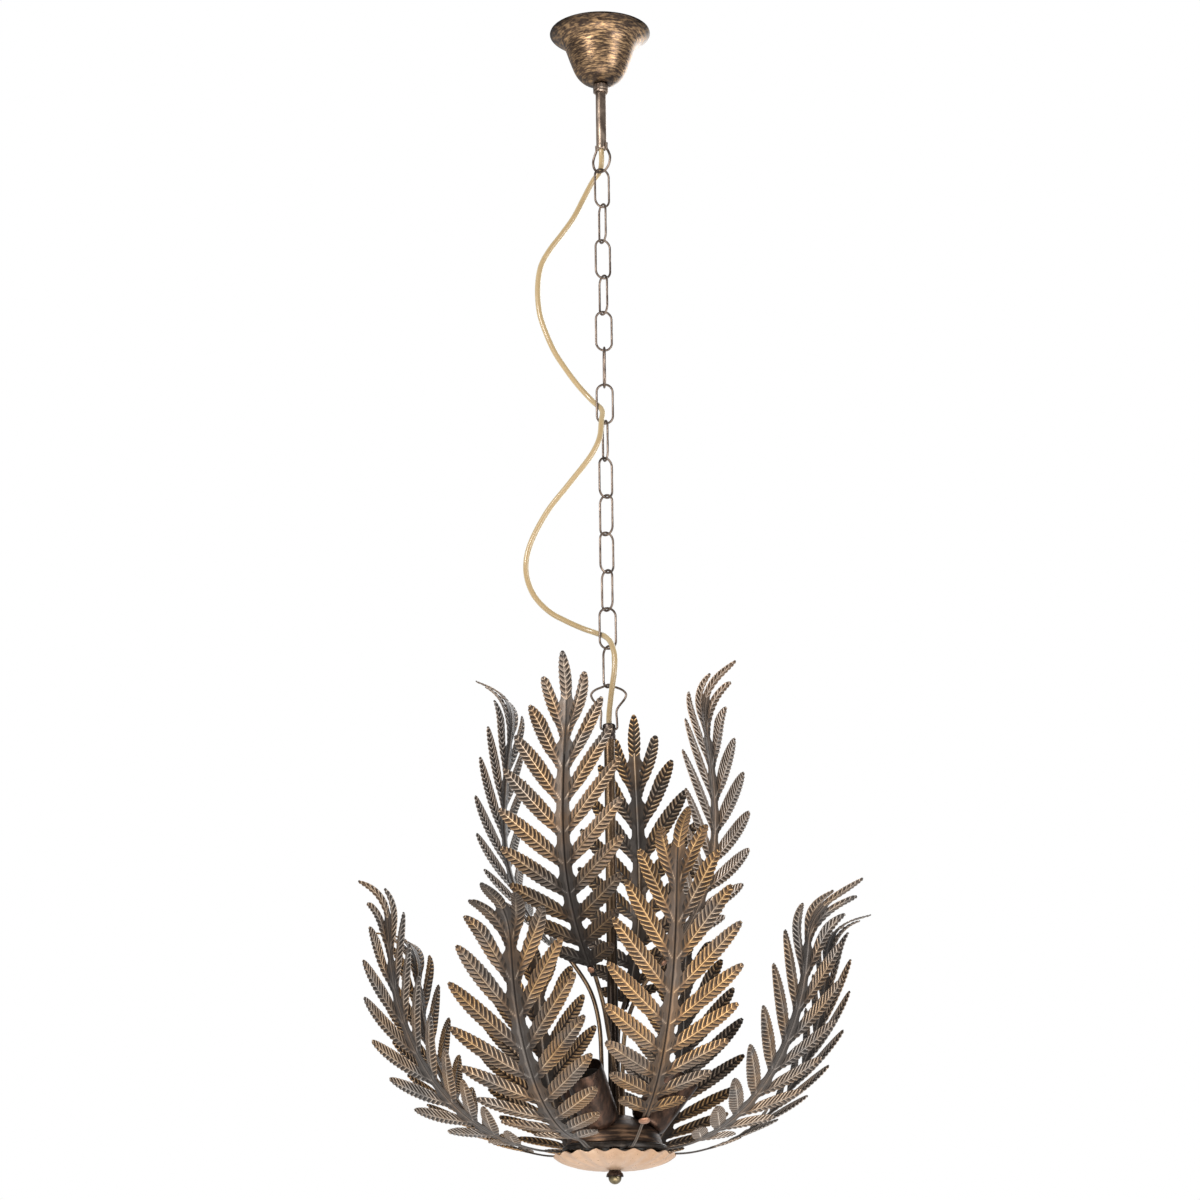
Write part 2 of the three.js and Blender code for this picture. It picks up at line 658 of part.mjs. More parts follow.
function holderCover(tilted) {
  const outline = [
    [0, -COVER_RADIUS],
    [COVER_BOSS_RADIUS, -COVER_RADIUS],
    [COVER_BOSS_RADIUS, 0],
    [COVER_RADIUS - COVER_ROUND, 0],
    [COVER_RADIUS - 0.3 * COVER_ROUND, 0.3 * COVER_ROUND],
    [COVER_RADIUS, COVER_ROUND],
    [COVER_RADIUS, COVER_LENGTH],
    [COVER_RADIUS - COVER_WALL, COVER_LENGTH],
    [COVER_RADIUS - COVER_WALL, COVER_FLOOR],
    [0, COVER_FLOOR],
  ];
  tilted.updateWorldMatrix(true, false);
  const hub = underDome().translate(0, 0, DOME_LEVEL).applyMatrix4(tilted.matrixWorld.clone().invert());
  return cut(turned(outline), hub);
}

function holderCup() {
  const outer = COVER_RADIUS - COVER_WALL - GAP;
  const inner = outer - HOLDER_WALL;
  return turned([
    [0, 0],
    [outer, 0],
    [outer, HOLDER_LENGTH],
    [inner, HOLDER_LENGTH],
    [inner, HOLDER_FLOOR],
    [CONTACT_RADIUS, HOLDER_FLOOR],
    [CONTACT_RADIUS, HOLDER_FLOOR + CONTACT_HEIGHT],
    [0, HOLDER_FLOOR + CONTACT_HEIGHT],
  ]);
}

function screwShell() {
  const outer = COVER_RADIUS - COVER_WALL - HOLDER_WALL - 2 * GAP;
  return tube(outer, outer - SHELL_WALL, SHELL_LENGTH, 0);
}

function addHolders() {
  HOLDER_AZIMUTHS.forEach((azimuth, i) => {
    const around = new THREE.Group();
    around.position.z = DOME_LEVEL;
    around.rotation.z = THREE.MathUtils.degToRad(azimuth);
    const tilted = new THREE.Group();
    tilted.position.set(HOLDER_SEAT, 0, domeHeightAt(HOLDER_SEAT));
    tilted.rotation.y = THREE.MathUtils.degToRad(HOLDER_LEAN);
    around.add(tilted);
    lamp.add(around);
    add(`holder_cover_${i + 1}`, holderCover(tilted), metal(RUBBED_BRONZE, 0.4), tilted);
    const cup = add(`lamp_holder_${i + 1}`, holderCup(), metal(0x1b1a19, 0.5, 0), tilted);
    cup.position.z = COVER_FLOOR + GAP;
    const shell = add(`screw_shell_${i + 1}`, screwShell(), metal(0xb08d4f, 0.35), tilted);
    shell.position.z = cup.position.z + HOLDER_FLOOR + GAP;
  });
}

// Leaves

// Points of the midrib every millimetre in the upright plane of the leaf, with its slope
function midrib(start, bends, curl, curlFrom) {
  const rows = [];
  let [r, z] = start;
  for (let s = 0; s <= LEAF_LENGTH; s += 1) {
    const knot = Math.min(Math.floor(s / BEND_STEP), bends.length - 2);
    const share = s / BEND_STEP - knot;
    const rise = THREE.MathUtils.lerp(bends[knot], bends[knot + 1], share);
    const curled = curl * THREE.MathUtils.smoothstep(s, curlFrom, curlFrom + CURL_SPAN);
    const slope = THREE.MathUtils.degToRad(rise - curled);
    rows.push({ r, z, slope });
    r += Math.cos(slope);
    z += Math.sin(slope);
  }
  return rows;
}

// Place of a leaf point: s along the midrib, v across it, h out of the sheet
function bent(rows, s, v, h, twist = 0) {
  const at = THREE.MathUtils.clamp(s, 0, rows.length - 1.001);
  const [low, high] = [rows[Math.floor(at)], rows[Math.floor(at) + 1]];
  const part = at - Math.floor(at);
  const slope = THREE.MathUtils.lerp(low.slope, high.slope, part);
  const beyond = s - at;
  const fold = Math.sign(v) * LEAF_FOLD + twist;
  const lift = THREE.MathUtils.degToRad(fold) * THREE.MathUtils.smoothstep(s, 0, 2 * BEND_STEP);
  const out = v * Math.sin(lift) + h * Math.cos(lift);
  const across = v * Math.cos(lift) - h * Math.sin(lift);
  return new THREE.Vector3(
    THREE.MathUtils.lerp(low.r, high.r, part) + beyond * Math.cos(slope) + out * Math.sin(slope),
    across,
    THREE.MathUtils.lerp(low.z, high.z, part) + beyond * Math.sin(slope) - out * Math.cos(slope),
  );
}

function midribHalfWidth(s) {
  const rising = THREE.MathUtils.smoothstep(s, 0, 2 * BEND_STEP);
  const falling = THREE.MathUtils.smoothstep(s, 0.6 * LEAF_LENGTH, LEAF_LENGTH - TIP_LEAFLET);
  const middle = THREE.MathUtils.lerp(LEAF_MIDRIB_BASE, LEAF_MIDRIB_MIDDLE, rising);
  return THREE.MathUtils.lerp(middle, LEAF_MIDRIB_TIP, falling);
}

// The leaflets stand further apart towards the tip
function leafletPlace(i) {
  return LEAFLET_FIRST + i * (LEAFLET_PITCH + i * LEAFLET_PITCH_GROWTH);
}

// Corners of one leaflet as [lower edge, upper edge] pairs from its root, and its tip, in s and v
function leaflet(place, length, sweep) {
  const angle = THREE.MathUtils.degToRad(sweep);
  const [ahead, aside] = [Math.cos(angle), Math.sin(angle)];
  const root = midribHalfWidth(place);
  const point = (u, w) => [place + u * ahead - w * aside, root + u * aside + w * ahead];
  const half = LEAFLET_WIDTH / 2;
  const pairs = [[0.35, half], [0.8, 0.75 * half]].map(([share, w]) => [
    point(share * length, w),
    point(share * length, -w),
  ]);
  return { pairs, tip: point(length, 0) };
}

// The flat leaf: corners in s and v, and triangles, all wound the same way
function leafPattern(stalk) {
  const corners = [];
  const triangles = [];
  const put = (s, v) => corners.push([s, v]) - 1;
  const quad = (a, b, c, d) => triangles.push([a, b, c], [a, c, d]);
  const stations = stalk.map(([s, v]) => [s, v]);
  LEAFLET_LENGTHS.forEach((length, i) => {
    const place = leafletPlace(i);
    stations.push([place - LEAFLET_ROOT / 2, null], [place + LEAFLET_ROOT / 2, i]);
  });
  const neck = LEAF_LENGTH - TIP_LEAFLET;
  stations.push([neck, null]);
  let last = null;
  for (const [s, mark] of stations) {
    const onStalk = stalk.some(([place]) => place === s);
    const half = onStalk ? mark : midribHalfWidth(s);
    const row = [put(s, -half), put(s, 0), put(s, half)];
    if (last) {
      quad(last[0], row[0], row[1], last[1]);
      quad(last[1], row[1], row[2], last[2]);
      if (!onStalk && mark !== null) {
        const shape = leaflet(leafletPlace(mark), LEAFLET_LENGTHS[mark], LEAFLET_SWEEPS[mark]);
        for (const side of [1, -1]) {
          let [low, high] = side > 0 ? [last[2], row[2]] : [last[0], row[0]];
          for (const [a, b] of shape.pairs) {
            const ends = [put(a[0], side * a[1]), put(b[0], side * b[1])];
            if (side > 0) quad(low, high, ends[1], ends[0]);
            else quad(low, ends[0], ends[1], high);
            [low, high] = ends;
          }
          const tip = put(shape.tip[0], side * shape.tip[1]);
          triangles.push(side > 0 ? [low, high, tip] : [low, tip, high]);
        }
      }
    }
    last = row;
  }
  const half = TIP_WIDTH / 2;
  for (const [share, w] of [[0.4, half], [0.8, 0.7 * half]]) {
    const s = neck + share * TIP_LEAFLET;
    const row = [put(s, -w), put(s, 0), put(s, w)];
    quad(last[0], row[0], row[1], last[1]);
    quad(last[1], row[1], row[2], last[2]);
    last = row;
  }
  const tip = put(LEAF_LENGTH, 0);
  triangles.push([last[0], tip, last[1]], [last[1], tip, last[2]]);
  return { corners, triangles };
}

// Gives the flat pattern its thickness and bends it
function leafSolid(pattern, place) {
  const count = pattern.corners.length;
  const positions = [];
  for (const h of [LEAF_THICKNESS / 2, -LEAF_THICKNESS / 2]) {
    for (const [s, v] of pattern.corners) positions.push(...place(s, v, h).toArray());
  }
  const index = [];
  const edges = new Map();
  for (const [a, b, c] of pattern.triangles) {
    index.push(a, b, c, count + a, count + c, count + b);
    for (const [from, to] of [[a, b], [b, c], [c, a]]) {
      if (!edges.delete(`${to} ${from}`)) edges.set(`${from} ${to}`, [from, to]);
    }
  }
  for (const [from, to] of edges.values()) {
    index.push(to, from, count + from, to, count + from, count + to);
  }
  const geometry = new THREE.BufferGeometry();
  geometry.setAttribute('position', new THREE.Float32BufferAttribute(positions, 3));
  geometry.setIndex(index);
  return geometry;
}

function leafGroup(azimuth) {
  const group = new THREE.Group();
  group.rotation.z = THREE.MathUtils.degToRad(azimuth);
  lamp.add(group);
  return group;
}

function addLowerLeaves() {
  LOWER_LEAVES.forEach(({ azimuth, curl, curlFrom, reach, lift, twist, steeper }, i) => {
    const blade = STALK_BLADE + reach;
    const flat = PLATE_RADIUS + (DISH_RADIUS - PLATE_RADIUS) * 1.2;
    const bends = LOWER_BEND.map((rise, k) => rise + steeper * Math.max(0, 1 - k / STEEP_KNOTS));
    const ramp = 0.5 * (blade - flat) * Math.tan(THREE.MathUtils.degToRad(bends[0]));
    const rows = midrib([blade, STALK_LEVEL + ramp + lift], bends, curl, curlFrom);
    // Along the stalk s is negative: level under the plate, then rising to the blade
    const place = (s, v, h) => {
      if (s >= 0) return bent(rows, s, v, h, twist);
      const r = blade + s;
      const share = THREE.MathUtils.clamp((r - flat) / (blade - flat), 0, 1);
      const rise = ramp * share * share + lift * THREE.MathUtils.smoothstep(share, 0, 1);
      return new THREE.Vector3(r, v, STALK_LEVEL + rise - h);
    };
    const stations = [0, 0.25, 0.5, 0.75, 1].map((share) => THREE.MathUtils.lerp(flat, blade, share));
    const stalk = [STALK_INNER, ...stations].map((r) => [r - blade, STALK_HALF_WIDTH]);
    const solid = leafSolid(leafPattern(stalk), place);
    add(`lower_leaf_${i + 1}`, solid, metal(BRONZE, 0.45), leafGroup(azimuth));
  });
}

function aroundAxis(radius, azimuth, z) {
  const angle = THREE.MathUtils.degToRad(azimuth);
  return new THREE.Vector3(radius * Math.cos(angle), radius * Math.sin(angle), z);
}

function upperStem(rows, { azimuth, foot, radius, rise }) {
  const inside = -(LEAF_THICKNESS / 2 + GAP + STEM_WIRE);
  const group = new THREE.Matrix4().makeRotationZ(THREE.MathUtils.degToRad(azimuth));
  const lap = [0.1, 0.55, 1].map((share) => bent(rows, share * STEM_LAP, 0, inside).applyMatrix4(group));
  const footLevel = DOME_LEVEL + GAP;
  const turn = THREE.MathUtils.lerp(foot, azimuth, 0.85);
  return wire([
    aroundAxis(STEM_FOOT, foot, footLevel),
    aroundAxis(STEM_FOOT, foot, footLevel + 0.16 * rise),
    aroundAxis(STEM_FOOT, THREE.MathUtils.lerp(foot, azimuth, 0.3), footLevel + 0.34 * rise),
    aroundAxis(1.25 * STEM_FOOT, turn, footLevel + 0.6 * rise),
    aroundAxis(0.5 * radius, azimuth, footLevel + 0.8 * rise),
    ...lap,
  ], STEM_WIRE, 22);
}

function rivet() {
  return turned([
    [0, 0],
    [RIVET_RADIUS, 0],
    [0.75 * RIVET_RADIUS, 0.7 * RIVET_HEIGHT],
    [0, RIVET_HEIGHT],
  ], 10);
}

function addUpperLeaves() {
  UPPER_LEAVES.forEach((leaf, i) => {
    const rows = midrib([leaf.radius, DOME_LEVEL + leaf.rise], UPPER_BEND, leaf.curl, UPPER_CURL_FROM);
    const place = (s, v, h) => bent(rows, s, v, h);
    const solid = leafSolid(leafPattern([[0, LEAF_MIDRIB_BASE]]), place);
    const group = leafGroup(leaf.azimuth);
    add(`upper_leaf_${i + 1}`, solid, metal(BRONZE, 0.45), group);
    add(`upper_stem_${i + 1}`, upperStem(rows, leaf), metal(RUBBED_BRONZE, 0.4));
    const head = add(`leaf_rivet_${i + 1}`, rivet(), metal(0x8a5a3a, 0.35), group);
    head.position.copy(bent(rows, RIVET_PLACE, 0, LEAF_THICKNESS / 2 + GAP));
    const { slope } = rows[Math.round(RIVET_PLACE)];
    head.rotation.y = Math.PI / 2 + Math.PI / 2 - slope;
  });
}

// Cord

function addCord() {
  const route = CORD_ROUTE.map((point) => new THREE.Vector3(...point));
  add('cord', wire(route, CORD_RADIUS, CORD_STEPS, 8), metal(0xb79a5a, 0.4, 0));
}

addCeilingFixing();
addStem();
addCanopy();
addChain();
addColumn();
addHub();
addHolders();
addLowerLeaves();
addUpperLeaves();
addCord();

export default lamp;
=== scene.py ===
import random
from math import asin, ceil, cos, exp, floor, pi, radians, sin, sqrt, tan

import bpy
import numpy as np
from mathutils import Matrix, Vector


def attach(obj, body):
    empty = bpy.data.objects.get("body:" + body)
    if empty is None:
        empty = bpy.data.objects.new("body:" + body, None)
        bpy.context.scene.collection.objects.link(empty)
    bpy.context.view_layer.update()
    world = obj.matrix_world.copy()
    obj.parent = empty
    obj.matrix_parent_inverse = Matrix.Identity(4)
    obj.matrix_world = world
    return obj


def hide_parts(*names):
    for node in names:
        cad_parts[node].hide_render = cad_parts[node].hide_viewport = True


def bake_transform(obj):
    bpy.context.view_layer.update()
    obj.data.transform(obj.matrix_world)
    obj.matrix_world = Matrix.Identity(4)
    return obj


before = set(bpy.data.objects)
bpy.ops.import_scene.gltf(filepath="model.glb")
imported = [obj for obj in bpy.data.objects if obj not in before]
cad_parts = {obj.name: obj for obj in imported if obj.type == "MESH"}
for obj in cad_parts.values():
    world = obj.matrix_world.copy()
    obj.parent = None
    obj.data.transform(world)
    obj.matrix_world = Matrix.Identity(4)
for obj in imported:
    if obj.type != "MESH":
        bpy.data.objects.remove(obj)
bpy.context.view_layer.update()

MM = 0.001
rng = random.Random(7)


# Camera: it looks slightly up at the lamp, as the photograph does

PHOTO_SIDE = 1200
FOCAL_PIXELS = 3162
CAMERA_PLACE = (-7.1, -2930, -1395.4)
CAMERA_TILT = radians(15.3)
CAMERA_ROLL = radians(0.716)


def add_camera():
    ahead = Vector((0, cos(CAMERA_TILT), sin(CAMERA_TILT)))
    up = Vector((0, -sin(CAMERA_TILT), cos(CAMERA_TILT)))
    right = Vector((1, 0, 0))
    rolled_right = right * cos(CAMERA_ROLL) - up * sin(CAMERA_ROLL)
    rolled_up = up * cos(CAMERA_ROLL) + right * sin(CAMERA_ROLL)
    data = bpy.data.cameras.new("camera")
    data.sensor_fit = "HORIZONTAL"
    data.lens = data.sensor_width * FOCAL_PIXELS / PHOTO_SIDE
    camera = bpy.data.objects.new("camera", data)
    turn = Matrix((rolled_right, rolled_up, -ahead)).transposed()
    camera.matrix_world = Matrix.Translation(Vector(CAMERA_PLACE) * MM) @ turn.to_4x4()
    bpy.context.collection.objects.link(camera)
    bpy.context.scene.camera = camera


add_camera()


# Materials: every one is made of nodes on the object's own coordinates


class Shader:
    """A material under construction."""

    def __init__(self, name):
        self.material = bpy.data.materials.new(name)
        self.material.use_nodes = True
        self.nodes = self.material.node_tree.nodes
        self.links = self.material.node_tree.links
        self.surface = self.nodes["Principled BSDF"]
        self.place = self.nodes.new("ShaderNodeTexCoord").outputs["Object"]

    def put(self, value, socket):
        """Gives a socket a value, or links it to another socket."""
        if hasattr(value, "links"):
            self.links.new(value, socket)
        else:
            socket.default_value = value

    def set(self, **values):
        """Inputs of the surface by name, with _ for a blank."""
        for name, value in values.items():
            self.put(value, self.surface.inputs[name.replace("_", " ")])

    def node(self, kind, **values):
        node = self.nodes.new(kind)
        for name, value in values.items():
            self.put(value, node.inputs[name])
        return node

    def stretched(self, scale):
        return self.node("ShaderNodeMapping", Vector=self.place, Scale=scale).outputs["Vector"]

    def noise(self, scale, detail=3.0, roughness=0.55, vector=None, distortion=0.0):
        node = self.node(
            "ShaderNodeTexNoise", Vector=vector or self.place, Scale=scale, Detail=detail,
            Roughness=roughness, Distortion=distortion,
        )
        return node.outputs["Fac"]

    def ramp(self, value, stops):
        """A grey ramp through stops of place and level."""
        node = self.node("ShaderNodeValToRGB", Fac=value)
        elements = node.color_ramp.elements
        while len(elements) < len(stops):
            elements.new(0.5)
        for element, (at, level) in zip(elements, stops):
            element.position = at
            element.color = (level, level, level, 1)
        return node.outputs["Color"]

    def mix(self, fac, a, b):
        node = self.nodes.new("ShaderNodeMix")
        node.data_type = "RGBA"
        self.put(fac, node.inputs["Factor"])
        for value, socket in ((a, node.inputs[6]), (b, node.inputs[7])):
            self.put((*value, 1) if isinstance(value, tuple) else value, socket)
        return node.outputs[2]

    def math(self, kind, a, b=0.0, clamp=False):
        node = self.nodes.new("ShaderNodeMath")
        node.operation = kind
        node.use_clamp = clamp
        self.put(a, node.inputs[0])
        self.put(b, node.inputs[1])
        return node.outputs[0]

    def attribute(self, name):
        node = self.nodes.new("ShaderNodeAttribute")
        node.attribute_name = name
        return node.outputs["Fac"]

    def bump(self, height, strength, distance):
        node = self.node("ShaderNodeBump", Strength=strength, Distance=distance, Height=height)
        self.set(Normal=node.outputs["Normal"])


BRUSH_SCALE = 150
GRAIN_SCALE = 900
# Near blacks: for painted shade on turned and wire pieces, for painted shade on leaves, and the
# grooves' dark patina
PAINTED_SHADE_BLACK = (0.012, 0.009, 0.008)
LEAF_PAINTED_SHADE = (0.014, 0.010, 0.008)
GROOVE_BLACK = (0.010, 0.007, 0.005)


def patina(name, dark, mid, light, rough, metallic=0.85, blotch=26, streak=(1, 1, 1), shine=0.45):
    """Dark paint, brushed over with a lighter metal colour and blackened where shade is painted on.
    """
    made = Shader(name)
    painted_shade = made.math("MULTIPLY", made.attribute("painted_shade"), 0.9)
    cloudy = made.noise(blotch, 5, 0.62, distortion=0.6)
    brushed = made.noise(BRUSH_SCALE, 4, 0.6, made.stretched(streak))
    grain = made.noise(GRAIN_SCALE, 2)
    base = made.mix(made.ramp(cloudy, [(0.35, 0.0), (0.66, 1.0)]), dark, mid)
    worn = made.math("MULTIPLY", made.ramp(brushed, [(0.46, 0.0), (0.72, 1.0)]), shine)
    worn = made.math("MULTIPLY", worn, made.ramp(cloudy, [(0.3, 0.25), (0.62, 1.0)]))
    made.set(
        # Painted shade: the colour goes towards near black by each point's painted shade
        Base_Color=made.mix(painted_shade, made.mix(worn, base, light), PAINTED_SHADE_BLACK),
        Metallic=metallic,
        Roughness=made.ramp(brushed, [(0.3, rough - 0.1), (0.7, rough + 0.12)]),
    )
    made.bump(grain, 0.12, 0.0004)
    return made.material


def leaf_patina(name):
    """Stamped leaf: near black in its grooves, brown between them, gold or pewter on its ribs;
    paler where light is painted on and blacker where shade is painted on.
    """
    made = Shader(name)
    rub = made.attribute("rub")
    gold = made.attribute("gold")
    painted_shade = made.attribute("painted_shade")
    painted_light = made.attribute("painted_light")
    cloudy = made.noise(14, 4, 0.6, distortion=0.9)
    patchy = made.noise(65, 4, 0.62)
    grain = made.noise(1100, 2)
    clouds = made.ramp(cloudy, [(0.36, 0.0), (0.64, 1.0)])
    gilded = made.math("ADD", clouds, made.math("SUBTRACT", gold, 0.5), True)
    pewter = made.mix(patchy, (0.052, 0.045, 0.041), (0.112, 0.098, 0.090))
    amber = made.mix(patchy, (0.085, 0.044, 0.020), (0.230, 0.122, 0.046))
    ground = made.mix(gilded, pewter, amber)
    # Painted light: the ground and the crests go paler, towards tan and near white, where reflected
    # light from below is painted on
    ground = made.mix(made.math("MULTIPLY", painted_light, 0.16), ground, (0.50, 0.42, 0.36))
    crest = made.mix(gilded, (0.54, 0.485, 0.435), (0.88, 0.56, 0.24))
    crest = made.mix(made.math("MULTIPLY", painted_light, 0.85), crest, (1.0, 0.92, 0.84))
    patches = made.ramp(patchy, [(0.32, 0.35), (0.6, 1.0)])
    worn = made.math("MULTIPLY", made.ramp(rub, [(0.58, 0.0), (1.0, 1.0)]), patches)
    depth = made.ramp(rub, [(0.0, 0.0), (0.34, 1.0)])
    shaded = made.mix(depth, GROOVE_BLACK, ground)
    color = made.mix(worn, shaded, crest)
    # Painted shade: the leaf is blackened by each point's painted shade
    made.set(
        Base_Color=made.mix(made.math("MULTIPLY", painted_shade, 0.85), color, LEAF_PAINTED_SHADE),
        Metallic=0.6,
        Roughness=made.ramp(patchy, [(0.3, 0.38), (0.7, 0.55)]),
    )
    made.bump(grain, 0.1, 0.0003)
    return made.material


def plastic(name, color, rough):
    """Moulded plastic with a fine grain."""
    made = Shader(name)
    grain = made.noise(1400, 2)
    shade = tuple(0.82 * c for c in color)
    made.set(
        Base_Color=made.mix(made.noise(60), shade, color),
        Roughness=made.ramp(grain, [(0.3, rough - 0.06), (0.7, rough + 0.06)]),
    )
    made.bump(grain, 0.08, 0.0003)
    return made.material


def cord_skin(name):
    """Clear gold sheath that is light at its edges and shows darker conductors in its middle."""
    made = Shader(name)
    drift = made.noise(22, 2)
    edge = made.node("ShaderNodeLayerWeight", Blend=0.35)
    middle = made.mix(drift, (0.32, 0.220, 0.105), (0.39, 0.285, 0.15))
    rim = made.ramp(edge.outputs["Facing"], [(0.1, 0.0), (0.55, 1.0)])
    made.set(
        Base_Color=made.mix(rim, middle, (0.60, 0.49, 0.30)),
        Roughness=0.3,
        Coat_Weight=0.4,
    )
    return made.material


# Each patina: its ground, its brushed tone and its worn highlights, then how it is laid on
PATINAS = {
    "zinc_steel": dict(
        dark=(0.42, 0.42, 0.41), mid=(0.55, 0.55, 0.53), light=(0.7, 0.7, 0.68),
        rough=0.36, metallic=0.95,
    ),
    "stem_bronze": dict(
        dark=(0.130, 0.094, 0.072), mid=(0.50, 0.38, 0.29), light=(1.0, 0.84, 0.70),
        rough=0.3, blotch=40, streak=(1, 1, 0.08), shine=0.8,
    ),
    "canopy_bronze": dict(
        dark=(0.030, 0.021, 0.019), mid=(0.155, 0.098, 0.064), light=(0.95, 0.60, 0.30),
        rough=0.32, blotch=22, streak=(0.9, 0.7, 5.5), shine=0.95,
    ),
    "chain_bronze": dict(
        dark=(0.085, 0.062, 0.050), mid=(0.24, 0.185, 0.15), light=(0.50, 0.40, 0.33),
        rough=0.36, blotch=90,
    ),
    "column_bronze": dict(
        dark=(0.060, 0.040, 0.028), mid=(0.20, 0.125, 0.075), light=(0.60, 0.40, 0.22),
        rough=0.32, blotch=24, streak=(1, 1, 0.06), shine=0.7,
    ),
    "cover_bronze": dict(
        dark=(0.016, 0.011, 0.009), mid=(0.055, 0.032, 0.023), light=(0.26, 0.135, 0.085),
        rough=0.34, metallic=0.8, blotch=24, streak=(1, 1, 0.3), shine=0.5,
    ),
    "finial_dark": dict(
        dark=(0.020, 0.016, 0.016), mid=(0.060, 0.045, 0.042), light=(0.45, 0.36, 0.30),
        rough=0.3, blotch=60,
    ),
    "finial_olive": dict(
        dark=(0.075, 0.060, 0.034), mid=(0.20, 0.16, 0.09), light=(0.55, 0.46, 0.30),
        rough=0.3, blotch=90,
    ),
    "hub_bronze": dict(
        dark=(0.022, 0.016, 0.014), mid=(0.085, 0.052, 0.036), light=(0.52, 0.31, 0.18),
        rough=0.44, metallic=0.8, blotch=30, streak=(0.35, 0.35, 3.0), shine=0.7,
    ),
    "plate_black": dict(
        dark=(0.012, 0.010, 0.009), mid=(0.035, 0.028, 0.024), light=(0.16, 0.12, 0.09),
        rough=0.34, metallic=0.6, blotch=34,
    ),
    "dish_gold": dict(
        dark=(0.42, 0.26, 0.16), mid=(0.56, 0.38, 0.26), light=(0.80, 0.66, 0.52),
        rough=0.34, metallic=0.6, blotch=18, shine=0.25,
    ),
    "rivet_copper": dict(
        dark=(0.20, 0.10, 0.065), mid=(0.36, 0.19, 0.12), light=(0.7, 0.45, 0.3),
        rough=0.36, metallic=0.8, blotch=80,
    ),
    "shell_brass": dict(
        dark=(0.40, 0.27, 0.10), mid=(0.62, 0.44, 0.18), light=(0.8, 0.62, 0.32),
        rough=0.3, metallic=0.95, blotch=60,
    ),
}
LOOKS = {slot: patina(f"{slot}_look", **values) for slot, values in PATINAS.items()}
LOOKS["leaf_bronze"] = leaf_patina("leaf_bronze_look")
LOOKS["holder_black"] = plastic("holder_black_look", (0.022, 0.020, 0.019), rough=0.4)
LOOKS["terminal_plastic"] = plastic("terminal_plastic_look", (0.80, 0.77, 0.68), rough=0.45)
LOOKS["cord_gold"] = cord_skin("cord_gold_look")


# Helpers for meshes, in millimetres


def finish_piece(
    name, points, faces, slot, node=None, body="lamp_body", attributes=None, sharp=38, look=None
):
    """A mesh object from points that rides on a body and stands for a CAD node."""
    mesh = bpy.data.meshes.new(name)
    mesh.from_pydata((np.asarray(points, float) * MM).tolist(), [], faces)
    mesh.polygons.foreach_set("use_smooth", [True] * len(mesh.polygons))
    mesh.set_sharp_from_angle(angle=radians(sharp))
    for key, values in (attributes or {}).items():
        layer = mesh.attributes.new(key, "FLOAT", "POINT")
        layer.data.foreach_set("value", np.asarray(values, np.float32))
    mesh.materials.append(LOOKS[look or slot])
    piece = bpy.data.objects.new(name, mesh)
    bpy.context.collection.objects.link(piece)
    if body:
        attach(piece, body)
    if node:
        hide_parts(node)
    return piece


def smoothstep(x, low, high):
    """0 below low, 1 above high, and a soft rise between them."""
    t = np.clip((np.asarray(x, float) - low) / (high - low), 0, 1)
    return t * t * (3 - 2 * t)


def outline_curve(pairs, samples):
    """A uniform Catmull-Rom curve through [radius, height] pairs."""
    points = np.array(pairs, float)
    last = len(points) - 1
    result = []
    for i in range(samples + 1):
        place = last * i / samples
        k = min(int(place), last - 1)
        t = place - k
        a, b, c, d = (points[max(min(j, last), 0)] for j in (k - 1, k, k + 1, k + 2))
        m0, m1 = (c - a) / 2, (d - b) / 2
        result.append(
            (2 * t**3 - 3 * t**2 + 1) * b + (t**3 - 2 * t**2 + t) * m0
            + (3 * t**2 - 2 * t**3) * c + (t**3 - t**2) * m1
        )
    return np.array(result)


def shell(curve, wall):
    """A curve, and its copy a wall further in and in reverse. Together they close an outline."""
    along = np.gradient(curve, axis=0)
    along /= np.linalg.norm(along, axis=1)[:, None]
    inner = curve + wall * np.stack([along[:, 1], -along[:, 0]], axis=1)
    return curve, inner[::-1]


def grid_faces(rows, columns, looped=False, closed=False):
    """Faces between rows of points. A looped row joins its ends, and closed rows join as well."""
    faces = []
    for i in range(rows if closed else rows - 1):
        here, there = i * columns, (i + 1) % rows * columns
        for j in range(columns if looped else columns - 1):
            beside = (j + 1) % columns
            faces.append((here + j, here + beside, there + beside, there + j))
    return faces


def turned(outline, sides):
    """Points and faces of a closed outline of [radius, height] pairs turned about Z."""
    points = []
    for k in range(sides):
        angle = 2 * pi * k / sides
        for r, z in outline:
            points.append((r * cos(angle), r * sin(angle), z))
    faces = [face[:1] + face[:0:-1] for face in grid_faces(sides, len(outline), True, True)]
    return np.array(points), faces


def cleaned(points, faces):
    """Joins the points that meet on the axis and drops the faces that have no area."""
    keys, index, keep = {}, [], []
    for p in np.round(np.asarray(points, float), 4).tolist():
        key = tuple(c + 0.0 for c in p)
        if key not in keys:
            keys[key] = len(keep)
            keep.append(key)
        index.append(keys[key])
    kept = []
    for face in faces:
        ring = [index[i] for i in face]
        ring = [v for n, v in enumerate(ring) if v != ring[n - 1]]
        if len(set(ring)) == len(ring) > 2:
            kept.append(tuple(ring))
    return np.array(keep), kept


def placed(points, place):
    """Points moved by a 4 by 4 matrix."""
    matrix = np.array(place)
    return points @ matrix[:3, :3].T + matrix[:3, 3]


def about_z(points, degrees):
    """Points turned about the Z axis."""
    angle = radians(degrees)
    points = np.atleast_2d(points)
    return np.stack([
        points[:, 0] * cos(angle) - points[:, 1] * sin(angle),
        points[:, 0] * sin(angle) + points[:, 1] * cos(angle),
        points[:, 2],
    ], 1)


